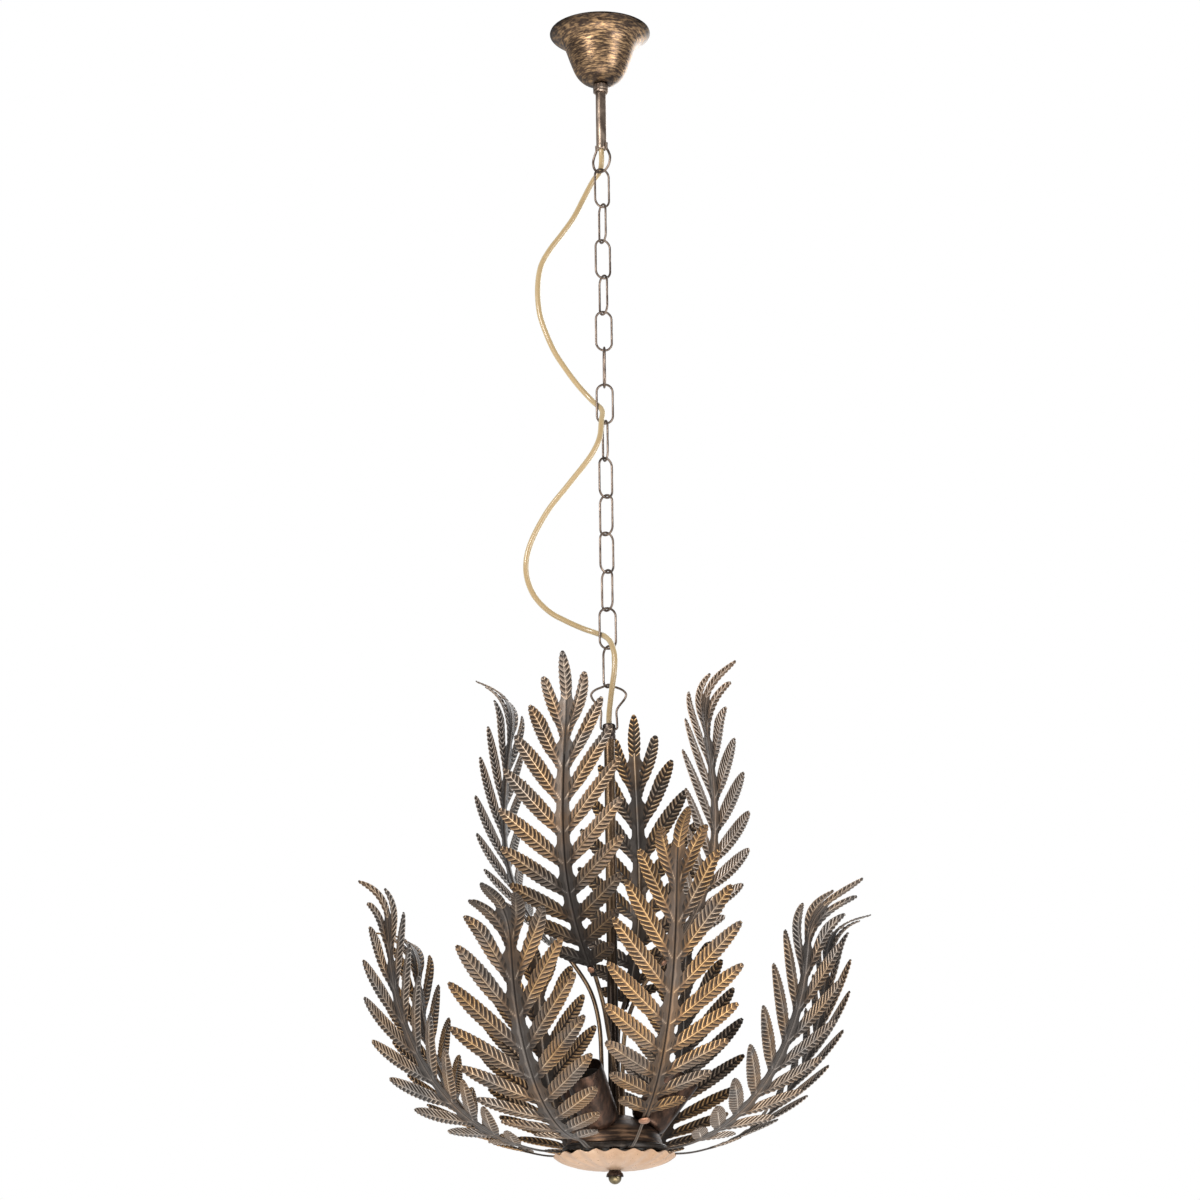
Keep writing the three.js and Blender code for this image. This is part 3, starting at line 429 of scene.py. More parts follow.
def lathe(name, outline, level, slot, node, sides, place=None, warp=None, painted_shade=None, **rest):
    """A turned piece. Its painted-shade function tells from a point's depth under the piece's top
    how black the painted shade makes it.
    """
    points, faces = cleaned(*turned(outline, sides))
    attributes = {"painted_shade": painted_shade(-points[:, 2])} if painted_shade else None
    if warp:
        points = warp(points)
    points = points + np.array([0, 0, level])
    if place is not None:
        points = placed(points, place)
    finish_piece(name, points, faces, slot, node, attributes=attributes, **rest)


def sheet_faces(faces, count):
    """Both sides and the rim of a sheet. Its outer points come first, then as many inner ones."""
    rim = {}
    for face in faces:
        for a, b in zip(face, face[1:] + face[:1]):
            if (b, a) in rim:
                del rim[(b, a)]
            else:
                rim[(a, b)] = True
    inner = [tuple(i + count for i in face[::-1]) for face in faces]
    return faces + inner + [(b, a, a + count, b + count) for a, b in rim]


def centripetal(route, spans):
    """Points on a centripetal Catmull-Rom curve through the route's points."""
    points = [np.array(p, float) for p in route]
    points = [2 * points[0] - points[1], *points, 2 * points[-1] - points[-2]]
    result = []
    for k in range(1, len(points) - 2):
        a, b, c, d = points[k - 1 : k + 3]
        d0, d1, d2 = (np.linalg.norm(q - p) ** 0.5 for p, q in ((a, b), (b, c), (c, d)))
        t1 = ((b - a) / d0 - (c - a) / (d0 + d1) + (c - b) / d1) * d1
        t2 = ((c - b) / d1 - (d - b) / (d1 + d2) + (d - c) / d2) * d1
        for i in range(spans):
            t = i / spans
            result.append(
                b + t1 * t + (-3 * b + 3 * c - 2 * t1 - t2) * t**2
                + (2 * b - 2 * c + t1 + t2) * t**3
            )
    result.append(points[-2])
    return np.array(result)


def mirrored(half, middle):
    """A wire's route in the XZ plane: one half, the level of its middle, and the half mirrored."""
    return [(x, 0, z) for x, z in (*half, (0, middle), *((-x, z) for x, z in half[::-1]))]


def swept(line, radius, sides, closed=False):
    """A tube along a line of points, with flat ends. The radius may differ from point to point."""
    line = np.asarray(line, float)
    count = len(line)
    radii = np.broadcast_to(np.asarray(radius, float), (count,))
    if closed:
        along = np.roll(line, -1, axis=0) - np.roll(line, 1, axis=0)
    else:
        along = np.gradient(line, axis=0)
    along /= np.linalg.norm(along, axis=1)[:, None]
    side = np.cross(along[0], (0, 1, 0) if abs(along[0][1]) < 0.9 else (1, 0, 0))
    side /= np.linalg.norm(side)
    points = []
    for i in range(count):
        side = side - along[i] * side.dot(along[i])
        side /= np.linalg.norm(side)
        other = np.cross(along[i], side)
        for k in range(sides):
            angle = 2 * pi * k / sides
            points.append(line[i] + radii[i] * (cos(angle) * side + sin(angle) * other))
    faces = grid_faces(count, sides, looped=True, closed=closed)
    if not closed:
        faces.append(tuple(range(sides))[::-1])
        faces.append(tuple(range((count - 1) * sides, count * sides)))
    return np.array(points), faces


# Sizes in millimetres, as the solids have them

LINKS = 14
LINK_PITCH = 37.8
LINK_WIRE = 1.1
LINK_HALF = 20.15
LINK_BEND = 7.85
CHAIN_TOP = -148.45
LINK_TURNS = [29, -66, 26, -62, 12, -86, 4, -73, 39, -41, 37, -51, 10, -55]
STEM_END = -127.5
RING_DROP = 23.6
RING_HALF_WIDTH = 11
RING_WIRE = 1.25
RING_TURN = -40
STEM_RADIUS = 5.2
BAIL_TOP = -677.65
BAIL_WIRE = 1.1
BAIL_PIN = -721.15
CAP_TOP = -716.15
CAP_RADIUS = 6.25
COLUMN_TOP = -727.95
COLUMN_LENGTH = 407
COLUMN_END = COLUMN_TOP - COLUMN_LENGTH
COLUMN_RADIUS = 5
COLUMN_BORE = 3.5
COLUMN_SHADE_RANGE = (90, 240)
HUB_HOLE = 5.3
DOME_LEVEL = -1086.95
DOME_RADIUS = 43
DOME_HEIGHT = 26
DOME_WALL = 1.5
DOME_CLEARANCE = 0.2
PLATE_RADIUS = 48
PLATE_TOP = -1113.25
STALK_LEVEL = -1119.55
DISH_RADIUS = 56.5
DISH_RIM = -1122.15
FITTING_GAP = 0.3
WIRE_SIDES = 14
WIRE_SPANS = 6

LINK_BODIES = [f"link_{i:02d}" for i in range(1, LINKS + 1)]


# Cord: one sheath in pieces, cut at the middles of the bodies that it runs between

CORD_ROUTE = [
    (0, 0, -122), (0, 0, -129), (-0.1, 4, -139.8), (-1.7, 8.5, -146.7), (-8.9, 11.5, -156.1),
    (-18.1, 12, -173.8), (-28.8, 11, -195.5), (-40.4, 10, -212.9), (-53.4, 8, -231.6),
    (-61.5, 7, -247.8), (-64.9, 6, -272), (-63.2, 5, -298), (-58.9, 5, -313.8),
    (-49.3, 6, -337.6), (-38.6, 8, -354.9), (-26.1, 10, -372.2), (-12.6, 8.5, -388.6),
    (-2.7, 0, -401.9), (-3.6, -8, -415.5), (-5.6, -12.5, -434), (-13.1, -13, -450.6),
    (-35.7, -10, -479.8), (-57.2, -6, -506.6), (-73.9, -4, -539.1), (-77.9, -3, -557.8),
    (-76.6, 0, -572.9), (-69.6, 4, -588.9), (-55.3, 8, -603.2), (-39.1, 11, -611.9),
    (-23.8, 11.5, -619), (-11.5, 7.5, -624.6), (-2.2, 0, -630.4), (3.2, -8.5, -639.5),
    (6.2, -12.5, -653.2), (5.6, -12.5, -668.1), (3.3, -9.5, -683.1), (1.4, -4.5, -697),
    (0.2, -1, -708), (0, 0, -717), (0, 0, -745),
]
CORD_RADIUS = 2.7
CORD_SIDES = 20
CORD_SPANS = 12
CUT_CLEARANCE = 0.3

# A level inside the column's cap
CORD_HELD_BELOW = -722


def add_cord():
    line = centripetal(CORD_ROUTE, CORD_SPANS)
    middles = [CHAIN_TOP - LINK_HALF - i * LINK_PITCH for i in range(LINKS)]
    cuts = [line[0][2], *middles, (BAIL_TOP + BAIL_PIN) / 2, line[-1][2]]
    bodies = ["ceiling_end", *LINK_BODIES, "bail", "lamp_body"]
    heights = line[:, 2]
    for k in range(len(bodies) - 1):
        high, low = cuts[k], cuts[k + 1]
        inside = (heights < high - CUT_CLEARANCE) & (heights > low + CUT_CLEARANCE)
        first, last = ([np.interp(-z, -heights, line[:, c]) for c in range(3)] for z in (high, low))
        part = np.vstack([first, line[inside], last])
        points, faces = swept(part, CORD_RADIUS, CORD_SIDES)
        piece = finish_piece(f"cord_{k + 1:02d}", points, faces, "cord_gold", body=None, sharp=80)
        end = (0, 0, max(low, CORD_HELD_BELOW) * MM)
        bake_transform(piece)
        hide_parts("cord")


add_cord()


# Ceiling end: the canopy and its stem


def canopy_painted_shade(depth):
    """Painted shade: black at the rim, and somewhat black where the bell closes in."""
    return 1 - smoothstep(depth, 0.5, 9) + 0.5 * smoothstep(depth, 46, 54)


def add_canopy():
    radius, height, throat, waist, crown, wall, lip = 50.5, 56.5, 36, 31, 25.5, 0.9, 0.3
    bore = STEM_RADIUS + FITTING_GAP
    pairs = [
        (radius - lip, 0), (radius, -0.03 * height), (0.95 * radius, -0.07 * height),
        (1.15 * throat, -0.15 * height), (throat, -0.27 * height), (waist, -0.52 * height),
        (crown, -0.77 * height), (0.76 * crown, -0.91 * height), (0.47 * crown, -0.985 * height),
        (bore, -height),
    ]
    outer, inner = shell(outline_curve(pairs, 60), wall)
    inner[0] = (bore, -height + wall)
    inner[-1] = (radius - lip - wall, 0)
    lathe(
        "canopy_bell", np.vstack([outer, inner]), -FITTING_GAP, "canopy_bronze", "canopy", 128,
        painted_shade=canopy_painted_shade, body="canopy",
    )
    top = -2 * FITTING_GAP - height
    collar = [
        (bore, 0), (6.6, 0), (7.5, -0.7), (7.7, -1.6), (7.7, -5.2), (7.2, -5.8),
        (7.2, -6.3), (7.6, -6.9), (7.5, -8.2), (6.7, -9), (bore, -9),
    ]
    lathe("collar_ring", collar, top, "stem_bronze", "canopy_collar", 64, body="canopy")


def add_stem():
    bore, length, top = 3.5, 125.2, -2.3
    rings = [(bore, 0), (STEM_RADIUS, 0)]
    rings += [(STEM_RADIUS, -z) for z in np.linspace(2, length - 1.2, 40)]
    rings += [(STEM_RADIUS - 0.5, -length + 0.3), (STEM_RADIUS - 0.9, -length), (bore, -length)]
    lathe("stem_pipe", rings, top, "stem_bronze", "stem_tube", 48, body="ceiling_end")
    leg = STEM_RADIUS + FITTING_GAP + RING_WIRE
    half = [
        (leg, 6), (leg, 0), ((leg + RING_HALF_WIDTH) / 2, -0.17 * RING_DROP),
        (RING_HALF_WIDTH, -0.45 * RING_DROP), (0.84 * RING_HALF_WIDTH, -0.77 * RING_DROP),
        (0.42 * RING_HALF_WIDTH, -0.96 * RING_DROP),
    ]
    line = about_z(centripetal(mirrored(half, -RING_DROP), WIRE_SPANS), RING_TURN)
    line[:, 2] += STEM_END
    points, faces = swept(line, RING_WIRE, WIRE_SIDES)
    finish_piece("hanging_ring", points, faces, "chain_bronze", "stem_ring", "ceiling_end")


def add_link(k):
    """An oval of round wire with its butt seam on one side."""
    straight = LINK_HALF - LINK_BEND
    line = []
    for end in (1, -1):
        for i in range(17):
            angle = pi * i / 16
            rise = straight + LINK_BEND * sin(angle)
            line.append((end * LINK_BEND * cos(angle), 0, end * rise))
        for i in range(1, 6):
            line.append((-end * LINK_BEND, 0, end * straight * (1 - i / 3)))
    line = np.array(line)
    seam = np.exp(-((line[:, 2] / 1.6) ** 2)) * (line[:, 0] > 0)
    points, faces = swept(line, LINK_WIRE - 0.12 * seam, WIRE_SIDES, closed=True)
    points = about_z(points, LINK_TURNS[k])
    points[:, 2] += CHAIN_TOP - LINK_HALF - k * LINK_PITCH
    node = f"chain_link_{k + 1:02d}"
    finish_piece(f"link_wire_{k + 1:02d}", points, faces, "chain_bronze", node, LINK_BODIES[k])


def add_bail():
    leg = CAP_RADIUS + FITTING_GAP + BAIL_WIRE
    height, ear, ear_drop = 43.5, 16.6, 9.5
    half = [
        (leg - 2 - BAIL_WIRE, BAIL_TOP - height), (leg - BAIL_WIRE, BAIL_PIN),
        (leg, BAIL_PIN + BAIL_WIRE), (leg, BAIL_PIN + 0.2 * height), (leg, BAIL_TOP - 25),
        (ear - 1, BAIL_TOP - ear_drop - 4), (ear, BAIL_TOP - ear_drop),
        (ear - 3, BAIL_TOP - 0.6 * ear_drop), (0.3 * ear, BAIL_TOP - 0.2 * ear_drop),
    ]
    line = centripetal(mirrored(half, BAIL_TOP), WIRE_SPANS)
    points, faces = swept(line, BAIL_WIRE, WIRE_SIDES)
    finish_piece("bail_wire", points, faces, "chain_bronze", "bail", "bail")


add_canopy()
add_stem()
for number in range(LINKS):
    add_link(number)
add_bail()


# Column, hub, dish and finial


def add_column():
    bore = 3.3
    cap = [
        (bore, 0), (4.4, 0.0), (5.6, -0.5), (6.2, -1.4), (CAP_RADIUS, -2.4), (CAP_RADIUS, -8.6),
        (5.95, -9.2), (5.95, -9.9), (CAP_RADIUS, -10.5), (CAP_RADIUS, -14.9), (6.0, -15.5),
        (HUB_HOLE, -15.5), (HUB_HOLE, -11.5), (bore, -11.5),
    ]
    lathe("cap_turning", cap, CAP_TOP, "stem_bronze", "column_cap", 64, look="finial_dark")
    levels = [0, *np.linspace(4, COLUMN_LENGTH - 4, 90), COLUMN_LENGTH]
    wall = [(COLUMN_BORE, 0), *((COLUMN_RADIUS, -z) for z in levels), (COLUMN_BORE, -COLUMN_LENGTH)]
    # Painted shade: the column darkens between these depths below its top, under the leaves
    lathe(
        "column_pipe", wall, COLUMN_TOP, "column_bronze", "column_tube", 48,
        painted_shade=lambda depth: smoothstep(depth, *COLUMN_SHADE_RANGE),
    )


DOME_PAIRS = [
    (HUB_HOLE, 0), (15, -0.04 * DOME_HEIGHT), (0.67 * DOME_RADIUS, -0.3 * DOME_HEIGHT),
    (0.9 * DOME_RADIUS, -0.58 * DOME_HEIGHT), (DOME_RADIUS, -DOME_HEIGHT),
]
DOME_CURVE = outline_curve(DOME_PAIRS, 48)


def add_hub():
    outer, inner = shell(DOME_CURVE, -DOME_WALL)
    inner = np.array([(r, z) for r, z in inner if r > 6 and z > -DOME_HEIGHT + 0.2])
    inner = np.vstack([(DOME_RADIUS - DOME_WALL, -DOME_HEIGHT), inner, (HUB_HOLE, -DOME_WALL)])
    dome = np.vstack([outer, inner])
    lathe("dome_spinning", dome, DOME_LEVEL, "hub_bronze", "hub_dome", 128)
    edge = [
        (-1.5, 0), (-0.6, -0.25), (-0.1, -0.8), (0, -1.3), (-0.4, -1.7), (-0.4, -2.1), (0, -2.5),
        (0, -5.2), (-0.2, -5.5), (-1.4, -5.5), (-1.5, -5.2), (-1.5, -1.9), (-1.9, -1.5),
    ]
    plate = [(HUB_HOLE, 0), *((PLATE_RADIUS + r, z) for r, z in edge), (HUB_HOLE, -1.5)]
    lathe("plate_spinning", plate, PLATE_TOP, "plate_black", "hub_plate", 128)


def add_dish():
    radius, depth, wall = DISH_RADIUS, 13.2, 1.2
    flutes, rise, widening = 20, 1.3, 0.006
    pairs = [
        (radius, 0), (0.87 * radius, -0.38 * depth), (0.66 * radius, -0.72 * depth),
        (0.4 * radius, -0.94 * depth), (HUB_HOLE, -depth),
    ]
    outer, inner = shell(outline_curve(pairs, 30), wall)
    inner[0] = (HUB_HOLE, -depth + wall)
    inner[-1] = (radius - wall, 0)

    def fluted(points):
        """Raises and widens the dish in even waves that grow towards its rim."""
        around = np.arctan2(points[:, 1], points[:, 0])
        share = np.hypot(points[:, 0], points[:, 1]) / radius
        wave = np.cos(flutes * around)
        points[:, 2] += rise * share**2 * wave
        swell = 1 + widening * share**3 * wave
        points[:, 0] *= swell
        points[:, 1] *= swell
        return points

    dish = np.vstack([outer, inner])
    lathe("dish_pressing", dish, DISH_RIM, "dish_gold", "scalloped_dish", 240, warp=fluted)
    add_finial(min(DISH_RIM - depth, COLUMN_END) - FITTING_GAP)


def add_finial(top):
    cup = [
        (3.5, 0), (5.0, 0), (5.6, -0.3), (5.8, -0.9), (6.3, -1.5), (7.1, -2.3), (7.6, -3.4),
        (7.95, -4.8), (8, -5.5), (7.5, -5.5), (7.2, -4.6), (6.4, -3.0), (5.0, -1.6), (4, -1),
        (3.5, -1),
    ]
    lathe("cup_turning", cup, top, "stem_bronze", "finial_cup", 64, look="finial_dark")
    neck, neck_length, ball, steps = 3.2, 14, 6.0, 24
    start = asin(neck / ball)
    knob = [(0, neck_length), (neck, neck_length)]
    for i in range(steps):
        angle = start + (pi - start) * i / steps
        knob.append((ball * sin(angle), ball * cos(angle)))
    knob.append((0, -ball))
    level = top - 1 - FITTING_GAP - sqrt(ball**2 - neck**2)
    lathe("finial_knob", knob, level, "stem_bronze", "finial_ball", 64, look="finial_olive")


add_column()
add_hub()
add_dish()


# Lamp holders

HOLDER_AZIMUTHS = (244, 4, 124)
HOLDER_LEAN = radians(38)
HOLDER_SEAT = (28, -7.8)
COVER_RADIUS = 17.9
COVER_WALL = 1
COVER_LENGTH = 58
COVER_ROUND = 7
COVER_FLOOR = 8
COVER_BOSS = 9
SOCKET_WALL = 2.2
SOCKET_LENGTH = 40
SOCKET_FLOOR = 8
CONTACT_RADIUS = 4
THREAD_LENGTH = 24
THREAD_PITCH = 3.6
THREAD_DEPTH = 0.75
THREAD_WALL = 0.35
THREAD_FADE = 2


def holder_place(azimuth):
    """The matrix that seats a lamp holder on the dome."""
    around = Matrix.Rotation(radians(azimuth), 4, "Z")
    seat = Matrix.Translation((HOLDER_SEAT[0], 0, DOME_LEVEL + HOLDER_SEAT[1]))
    return around @ seat @ Matrix.Rotation(HOLDER_LEAN, 4, "Y")


def dome_height(radius):
    """The level just above the dome's skin at a distance from the axis."""
    height = np.interp(radius, DOME_CURVE[:, 0], DOME_CURVE[:, 1])
    return height + DOME_LEVEL + DOME_CLEARANCE


def settled_on_dome(points):
    """Lifts points that would lie inside the dome up to its skin."""
    points = points.copy()
    points[:, 2] = np.maximum(points[:, 2], dome_height(np.hypot(points[:, 0], points[:, 1])))
    return points


def add_cover(k, place):
    """A holder's cover: a boss, a rounded foot, and a sleeve that is open at its far end."""
    boss = [(0, -6), (COVER_BOSS, -6)]
    boss += [(COVER_BOSS, z) for z in np.linspace(-5, -1.5, 4)]
    boss.append((COVER_BOSS + 0.8, 0))
    foot = [
        (COVER_RADIUS - COVER_ROUND * (1 - sin(a)), COVER_ROUND * (1 - cos(a)))
        for a in np.linspace(0, pi / 2, 9)
    ]
    skin = [(COVER_RADIUS, z) for z in np.linspace(COVER_ROUND + 2, COVER_LENGTH - 0.6, 24)]
    inner = COVER_RADIUS - COVER_WALL
    lip = [
        (COVER_RADIUS - 0.15, COVER_LENGTH - 0.2), (COVER_RADIUS - 0.5, COVER_LENGTH),
        (inner, COVER_LENGTH - 0.2),
    ]
    inside = [(inner, z) for z in np.linspace(COVER_LENGTH - 1, COVER_FLOOR, 10)]
    points, faces = cleaned(*turned(boss + foot + skin + lip + inside + [(0, COVER_FLOOR)], 96))
    points = settled_on_dome(placed(points, place))
    node = f"holder_cover_{k}"
    finish_piece(f"cover_sleeve_{k}", points, faces, "hub_bronze", node, look="cover_bronze")


def add_socket(k, place):
    """The holder's black body, with the contact on its floor."""
    outer = COVER_RADIUS - COVER_WALL - FITTING_GAP
    inner = outer - SOCKET_WALL
    contact_top = SOCKET_FLOOR + 2.5
    cup = [
        (0, 0), (outer, 0), (outer, SOCKET_LENGTH - 1.5), (outer - 0.5, SOCKET_LENGTH - 0.5),
        (outer - 1.1, SOCKET_LENGTH), (inner, SOCKET_LENGTH), (inner, SOCKET_FLOOR),
        (CONTACT_RADIUS, SOCKET_FLOOR), (CONTACT_RADIUS, contact_top - 0.9),
        (CONTACT_RADIUS - 0.8, contact_top), (0, contact_top),
    ]
    level = COVER_FLOOR + FITTING_GAP
    lathe(f"holder_body_{k}", cup, level, "holder_black", f"lamp_holder_{k}", 72, place)


def add_thread(k, place):
    """The brass shell, rolled into a screw thread."""
    outer = COVER_RADIUS - COVER_WALL - SOCKET_WALL - 2 * FITTING_GAP
    around, levels = 72, 96
    points = []
    for z in THREAD_LENGTH * np.arange(levels + 1) / levels:
        fade = min(1, z / THREAD_FADE, (THREAD_LENGTH - z) / THREAD_FADE)
        for angle in 2 * pi * np.arange(around) / around:
            wave = 0.5 + 0.5 * cos(2 * pi * z / THREAD_PITCH - angle)
            r = outer - THREAD_DEPTH * wave * fade
            points.append((r * cos(angle), r * sin(angle), z))
    faces = sheet_faces(grid_faces(levels + 1, around, looped=True), len(points))
    thinner = 1 - THREAD_WALL / outer
    points += [(x * thinner, y * thinner, z) for x, y, z in points]
    lifted = np.array(points) + np.array([0, 0, COVER_FLOOR + SOCKET_FLOOR + 2 * FITTING_GAP])
    points = placed(lifted, place)
    finish_piece(f"thread_shell_{k}", points, faces, "shell_brass", f"screw_shell_{k}")


for number, azimuth in enumerate(HOLDER_AZIMUTHS, 1):
    seat_place = holder_place(azimuth)
    add_cover(number, seat_place)
    add_socket(number, seat_place)
    add_thread(number, seat_place)


# Fern leaves

LEAF_LENGTH = 315
LEAF_FOLD = 5
BEND_STEP = 40
CURL_FROM = 240
CURL_SPAN = 65
LOWER_BEND = [12, 27, 42, 56, 67, 78, 86, 86, 86]
UPPER_BEND = [43, 52, 65, 81, 91, 96, 98, 98, 98]
LEAFLET_LENGTHS = [31, 50, 62, 70, 76, 79, 73, 64, 50]
LEAFLET_SWEEPS = [60, 57, 55, 52, 48, 42, 36, 29, 20]
LEAFLET_FIRST = 18
LEAFLET_PITCH = 21.5
LEAFLET_PITCH_GROWTH = 0.875
LEAFLET_HALF = 7.9
LEAFLET_SLOT = 4.2
LEAFLET_OVERLAP = 1.2
LEAFLET_DROOP = 1.6
TIP_LEAFLET = 46
TIP_HALF = 6.2
TIP_NECK = LEAF_LENGTH - TIP_LEAFLET
SHEET = 0.8
RIB_PITCH = 5.2
RIB_LEAN = 0.55
RIB_CURVE = 0.06
RIB_HEIGHT = 0.5
VEIN_HEIGHT = 0.6
VEIN_HALF = 0.9
WEB_VEIN_HALF = 0.8
MIDRIB_HALVES = (3, 6.5, 4)
GROOVE_HALF = 1.3
GROOVE_DEPTH = 0.9
FILLET = 3.2
FILLET_SPREAD = 3.4
WEB_DULLNESS = 0.35
WAVE_HEIGHT = 0.5
WAVE_LENGTH = 33

# How wide a leaflet is at shares of its length: even, then narrowing to a blunt tip
LEAFLET_SHARES = [0, 0.08, 0.22, 0.42, 0.62, 0.78, 0.89, 0.96, 1]
LEAFLET_WIDTHS = [0.66, 0.76, 0.95, 1, 0.93, 0.76, 0.56, 0.37, 0.16]

# A rib's height and how rubbed it is outside and inside, in even steps from its crest on
RIB_STEPS = [
    (1.0, 1.0, 0.0), (0.75, 0.5, 0.0), (0.3, 0.3, 0.1), (-0.2, 0.2, 0.3), (-0.75, 0.05, 0.6),
    (-1.0, 0.0, 1.0), (-0.2, 0.1, 0.3),
]
RIB_SHARES = np.array([-1, -0.93, -0.68, -0.4, -0.18, -0.07, 0, 0.07, 0.18, 0.4, 0.68, 0.93, 1])

# Each leaf's gold, painted shade and painted light are given on its stalk and at its blade's base,
# middle and tip
SHADE_PLACES = (-10, 6, 150, LEAF_LENGTH)
STALK_HALF = 2.6
STALK_START = 34
STALK_FLAT_END = PLATE_RADIUS + (DISH_RADIUS - PLATE_RADIUS) * 1.2
BLADE_START = 78
STEEP_KNOTS = 5

# A lower leaf is like this where its own line doesn't say otherwise
PLAIN_LEAF = dict(
    curl_from=CURL_FROM, reach=0, lift=0, twist=0, steeper=0, foot_half=STALK_HALF,
    painted_light=(0, 0, 0, 0),
)
LOWER_LEAVES = [
    dict(PLAIN_LEAF, azimuth=197, curl=70, curl_from=258, twist=-12,
         gold=(0.1, 0.4, 0.35, 0.2), painted_shade=(0.4, 0.05, 0.1, 0.06), painted_light=(0.1, 0.7, 0.4, 0.4)),
    dict(PLAIN_LEAF, azimuth=246.6, curl=70, curl_from=226, lift=5, twist=-3, steeper=-12,
         gold=(0.2, 0.5, 0.8, 0.2), painted_shade=(0, 0.05, 0.34, 0.4), painted_light=(0.9, 0.7, 0, 0.1)),
    dict(PLAIN_LEAF, azimuth=284.4, curl=57, reach=28, lift=9, twist=-5, steeper=11.5,
         foot_half=1.3,
         gold=(0.2, 0.7, 0.9, 0.7), painted_shade=(0, 0.3, 0.1, 0.45), painted_light=(1, 0, 0.05, 0)),
    dict(PLAIN_LEAF, azimuth=325, curl=62, curl_from=222, reach=2,
         gold=(0.2, 0.4, 0.35, 0.2), painted_shade=(0.1, 0, 0.18, 0.12), painted_light=(0.5, 0.9, 0.25, 0.3)),
    dict(PLAIN_LEAF, azimuth=17, curl=70, reach=2,
         gold=(0.1, 0.2, 0.2, 0.2), painted_shade=(0.2, 0, 0.2, 0.2), painted_light=(0.4, 0.8, 0.3, 0.3)),
    dict(PLAIN_LEAF, azimuth=70, curl=40,
         gold=(0.3, 0.5, 0.5, 0.5), painted_shade=(0.4, 0.2, 0.3, 0.3)),
    dict(PLAIN_LEAF, azimuth=110, curl=60,
         gold=(0.3, 0.7, 0.9, 0.9), painted_shade=(0.3, 0.1, 0, 0)),
    dict(PLAIN_LEAF, azimuth=152, curl=76,
         gold=(0.3, 0.9, 1, 0.8), painted_shade=(0.3, 0, 0, 0.1)),
]
UPPER_LEAVES = [
    dict(azimuth=245, foot=291, radius=40, rise=125, curl=22,
         gold=(0.4, 0.4, 0.8, 0.3), painted_shade=(1, 1, 0, 0), painted_light=(0, 0, 0.2, 0.3)),
    dict(azimuth=329.5, foot=317, radius=49, rise=133, curl=66,
         gold=(0.9, 0.9, 1, 0.9), painted_shade=(0, 0, 0, 0), painted_light=(1, 1.2, 1.2, 1)),
    dict(azimuth=74, foot=64, radius=38, rise=104, curl=8,
         gold=(0.6, 0.6, 0.5, 0.9), painted_shade=(0.5, 0.5, 0.45, 0.02), painted_light=(0, 0, 0, 0.1)),
    dict(azimuth=160, foot=184, radius=45, rise=148, curl=72,
         gold=(0.2, 0.2, 0.2, 0.4), painted_shade=(0.2, 0, 0, 0), painted_light=(0.5, 0.9, 0.9, 0.6)),
]
ROD_RADIUS = 2.0
ROD_SIDES = 16
ROD_SPANS = 8
ROD_FOOT = 11
ROD_WAIST = 13.75
ROD_SHADE = 0.5
RIVET_PLACE = 8
RIVET_SEAT = 0.8


def midrib_rows(start, bends, curl, curl_from):
    """The midrib's distance from the axis, its level and its slope at every millimetre."""
    s = np.arange(LEAF_LENGTH + 1.0)
    rise = np.interp(s, np.arange(len(bends)) * BEND_STEP, bends)
    slope = np.radians(rise - curl * smoothstep(s, curl_from, curl_from + CURL_SPAN))
    r = start[0] + np.concatenate([[0], np.cumsum(np.cos(slope[:-1]))])
    z = start[1] + np.concatenate([[0], np.cumsum(np.sin(slope[:-1]))])
    return r, z, slope


def bent(rows, s, v, h, twist=0.0):
    """Points in the leaf's own upright plane, from s along, v across and h out of the sheet."""
    s, v, h = (np.asarray(a, float) for a in (s, v, h))
    r, z, slopes = rows
    at = np.clip(s, 0, len(r) - 1.001)
    steps = np.arange(len(r))
    slope = np.interp(at, steps, slopes)
    beyond = s - at
    fold = np.clip(v / 2, -1, 1) * LEAF_FOLD + twist
    lift = np.radians(fold) * smoothstep(s, 0, 2 * BEND_STEP)
    out = v * np.sin(lift) + h * np.cos(lift)
    across = v * np.cos(lift) - h * np.sin(lift)
    x = np.interp(at, steps, r) + beyond * np.cos(slope) + out * np.sin(slope)
    y = np.interp(at, steps, z) + beyond * np.sin(slope) - out * np.cos(slope)
    return np.stack([x, across, y], axis=-1)


def midrib_half(s):
    """Half the midrib's width, from its foot over its middle to its tip."""
    foot, middle, tip = MIDRIB_HALVES
    half = foot + (middle - foot) * smoothstep(s, 0, 2 * BEND_STEP)
    return half + (tip - half) * smoothstep(s, 0.6 * LEAF_LENGTH, TIP_NECK)


def leaflet_place(i):
    """Where a pair of leaflets leaves the midrib."""
    return LEAFLET_FIRST + i * (LEAFLET_PITCH + i * LEAFLET_PITCH_GROWTH)


def rib_ahead(w):
    """How far towards the tip a rib has run at a distance from the vein: it curves forward."""
    return RIB_LEAN * np.abs(w) + RIB_CURVE * w**2


def rib_reach(c, length, half, room):
    """How far the rib that leaves the vein at c reaches before the leaflet's edge."""
    reach = 4.0
    for _ in range(14):
        u = c + rib_ahead(reach)
        width = float(np.interp(u / length, LEAFLET_SHARES, LEAFLET_WIDTHS))
        reach = (reach + min(half * width, room(u))) / 2
    return reach


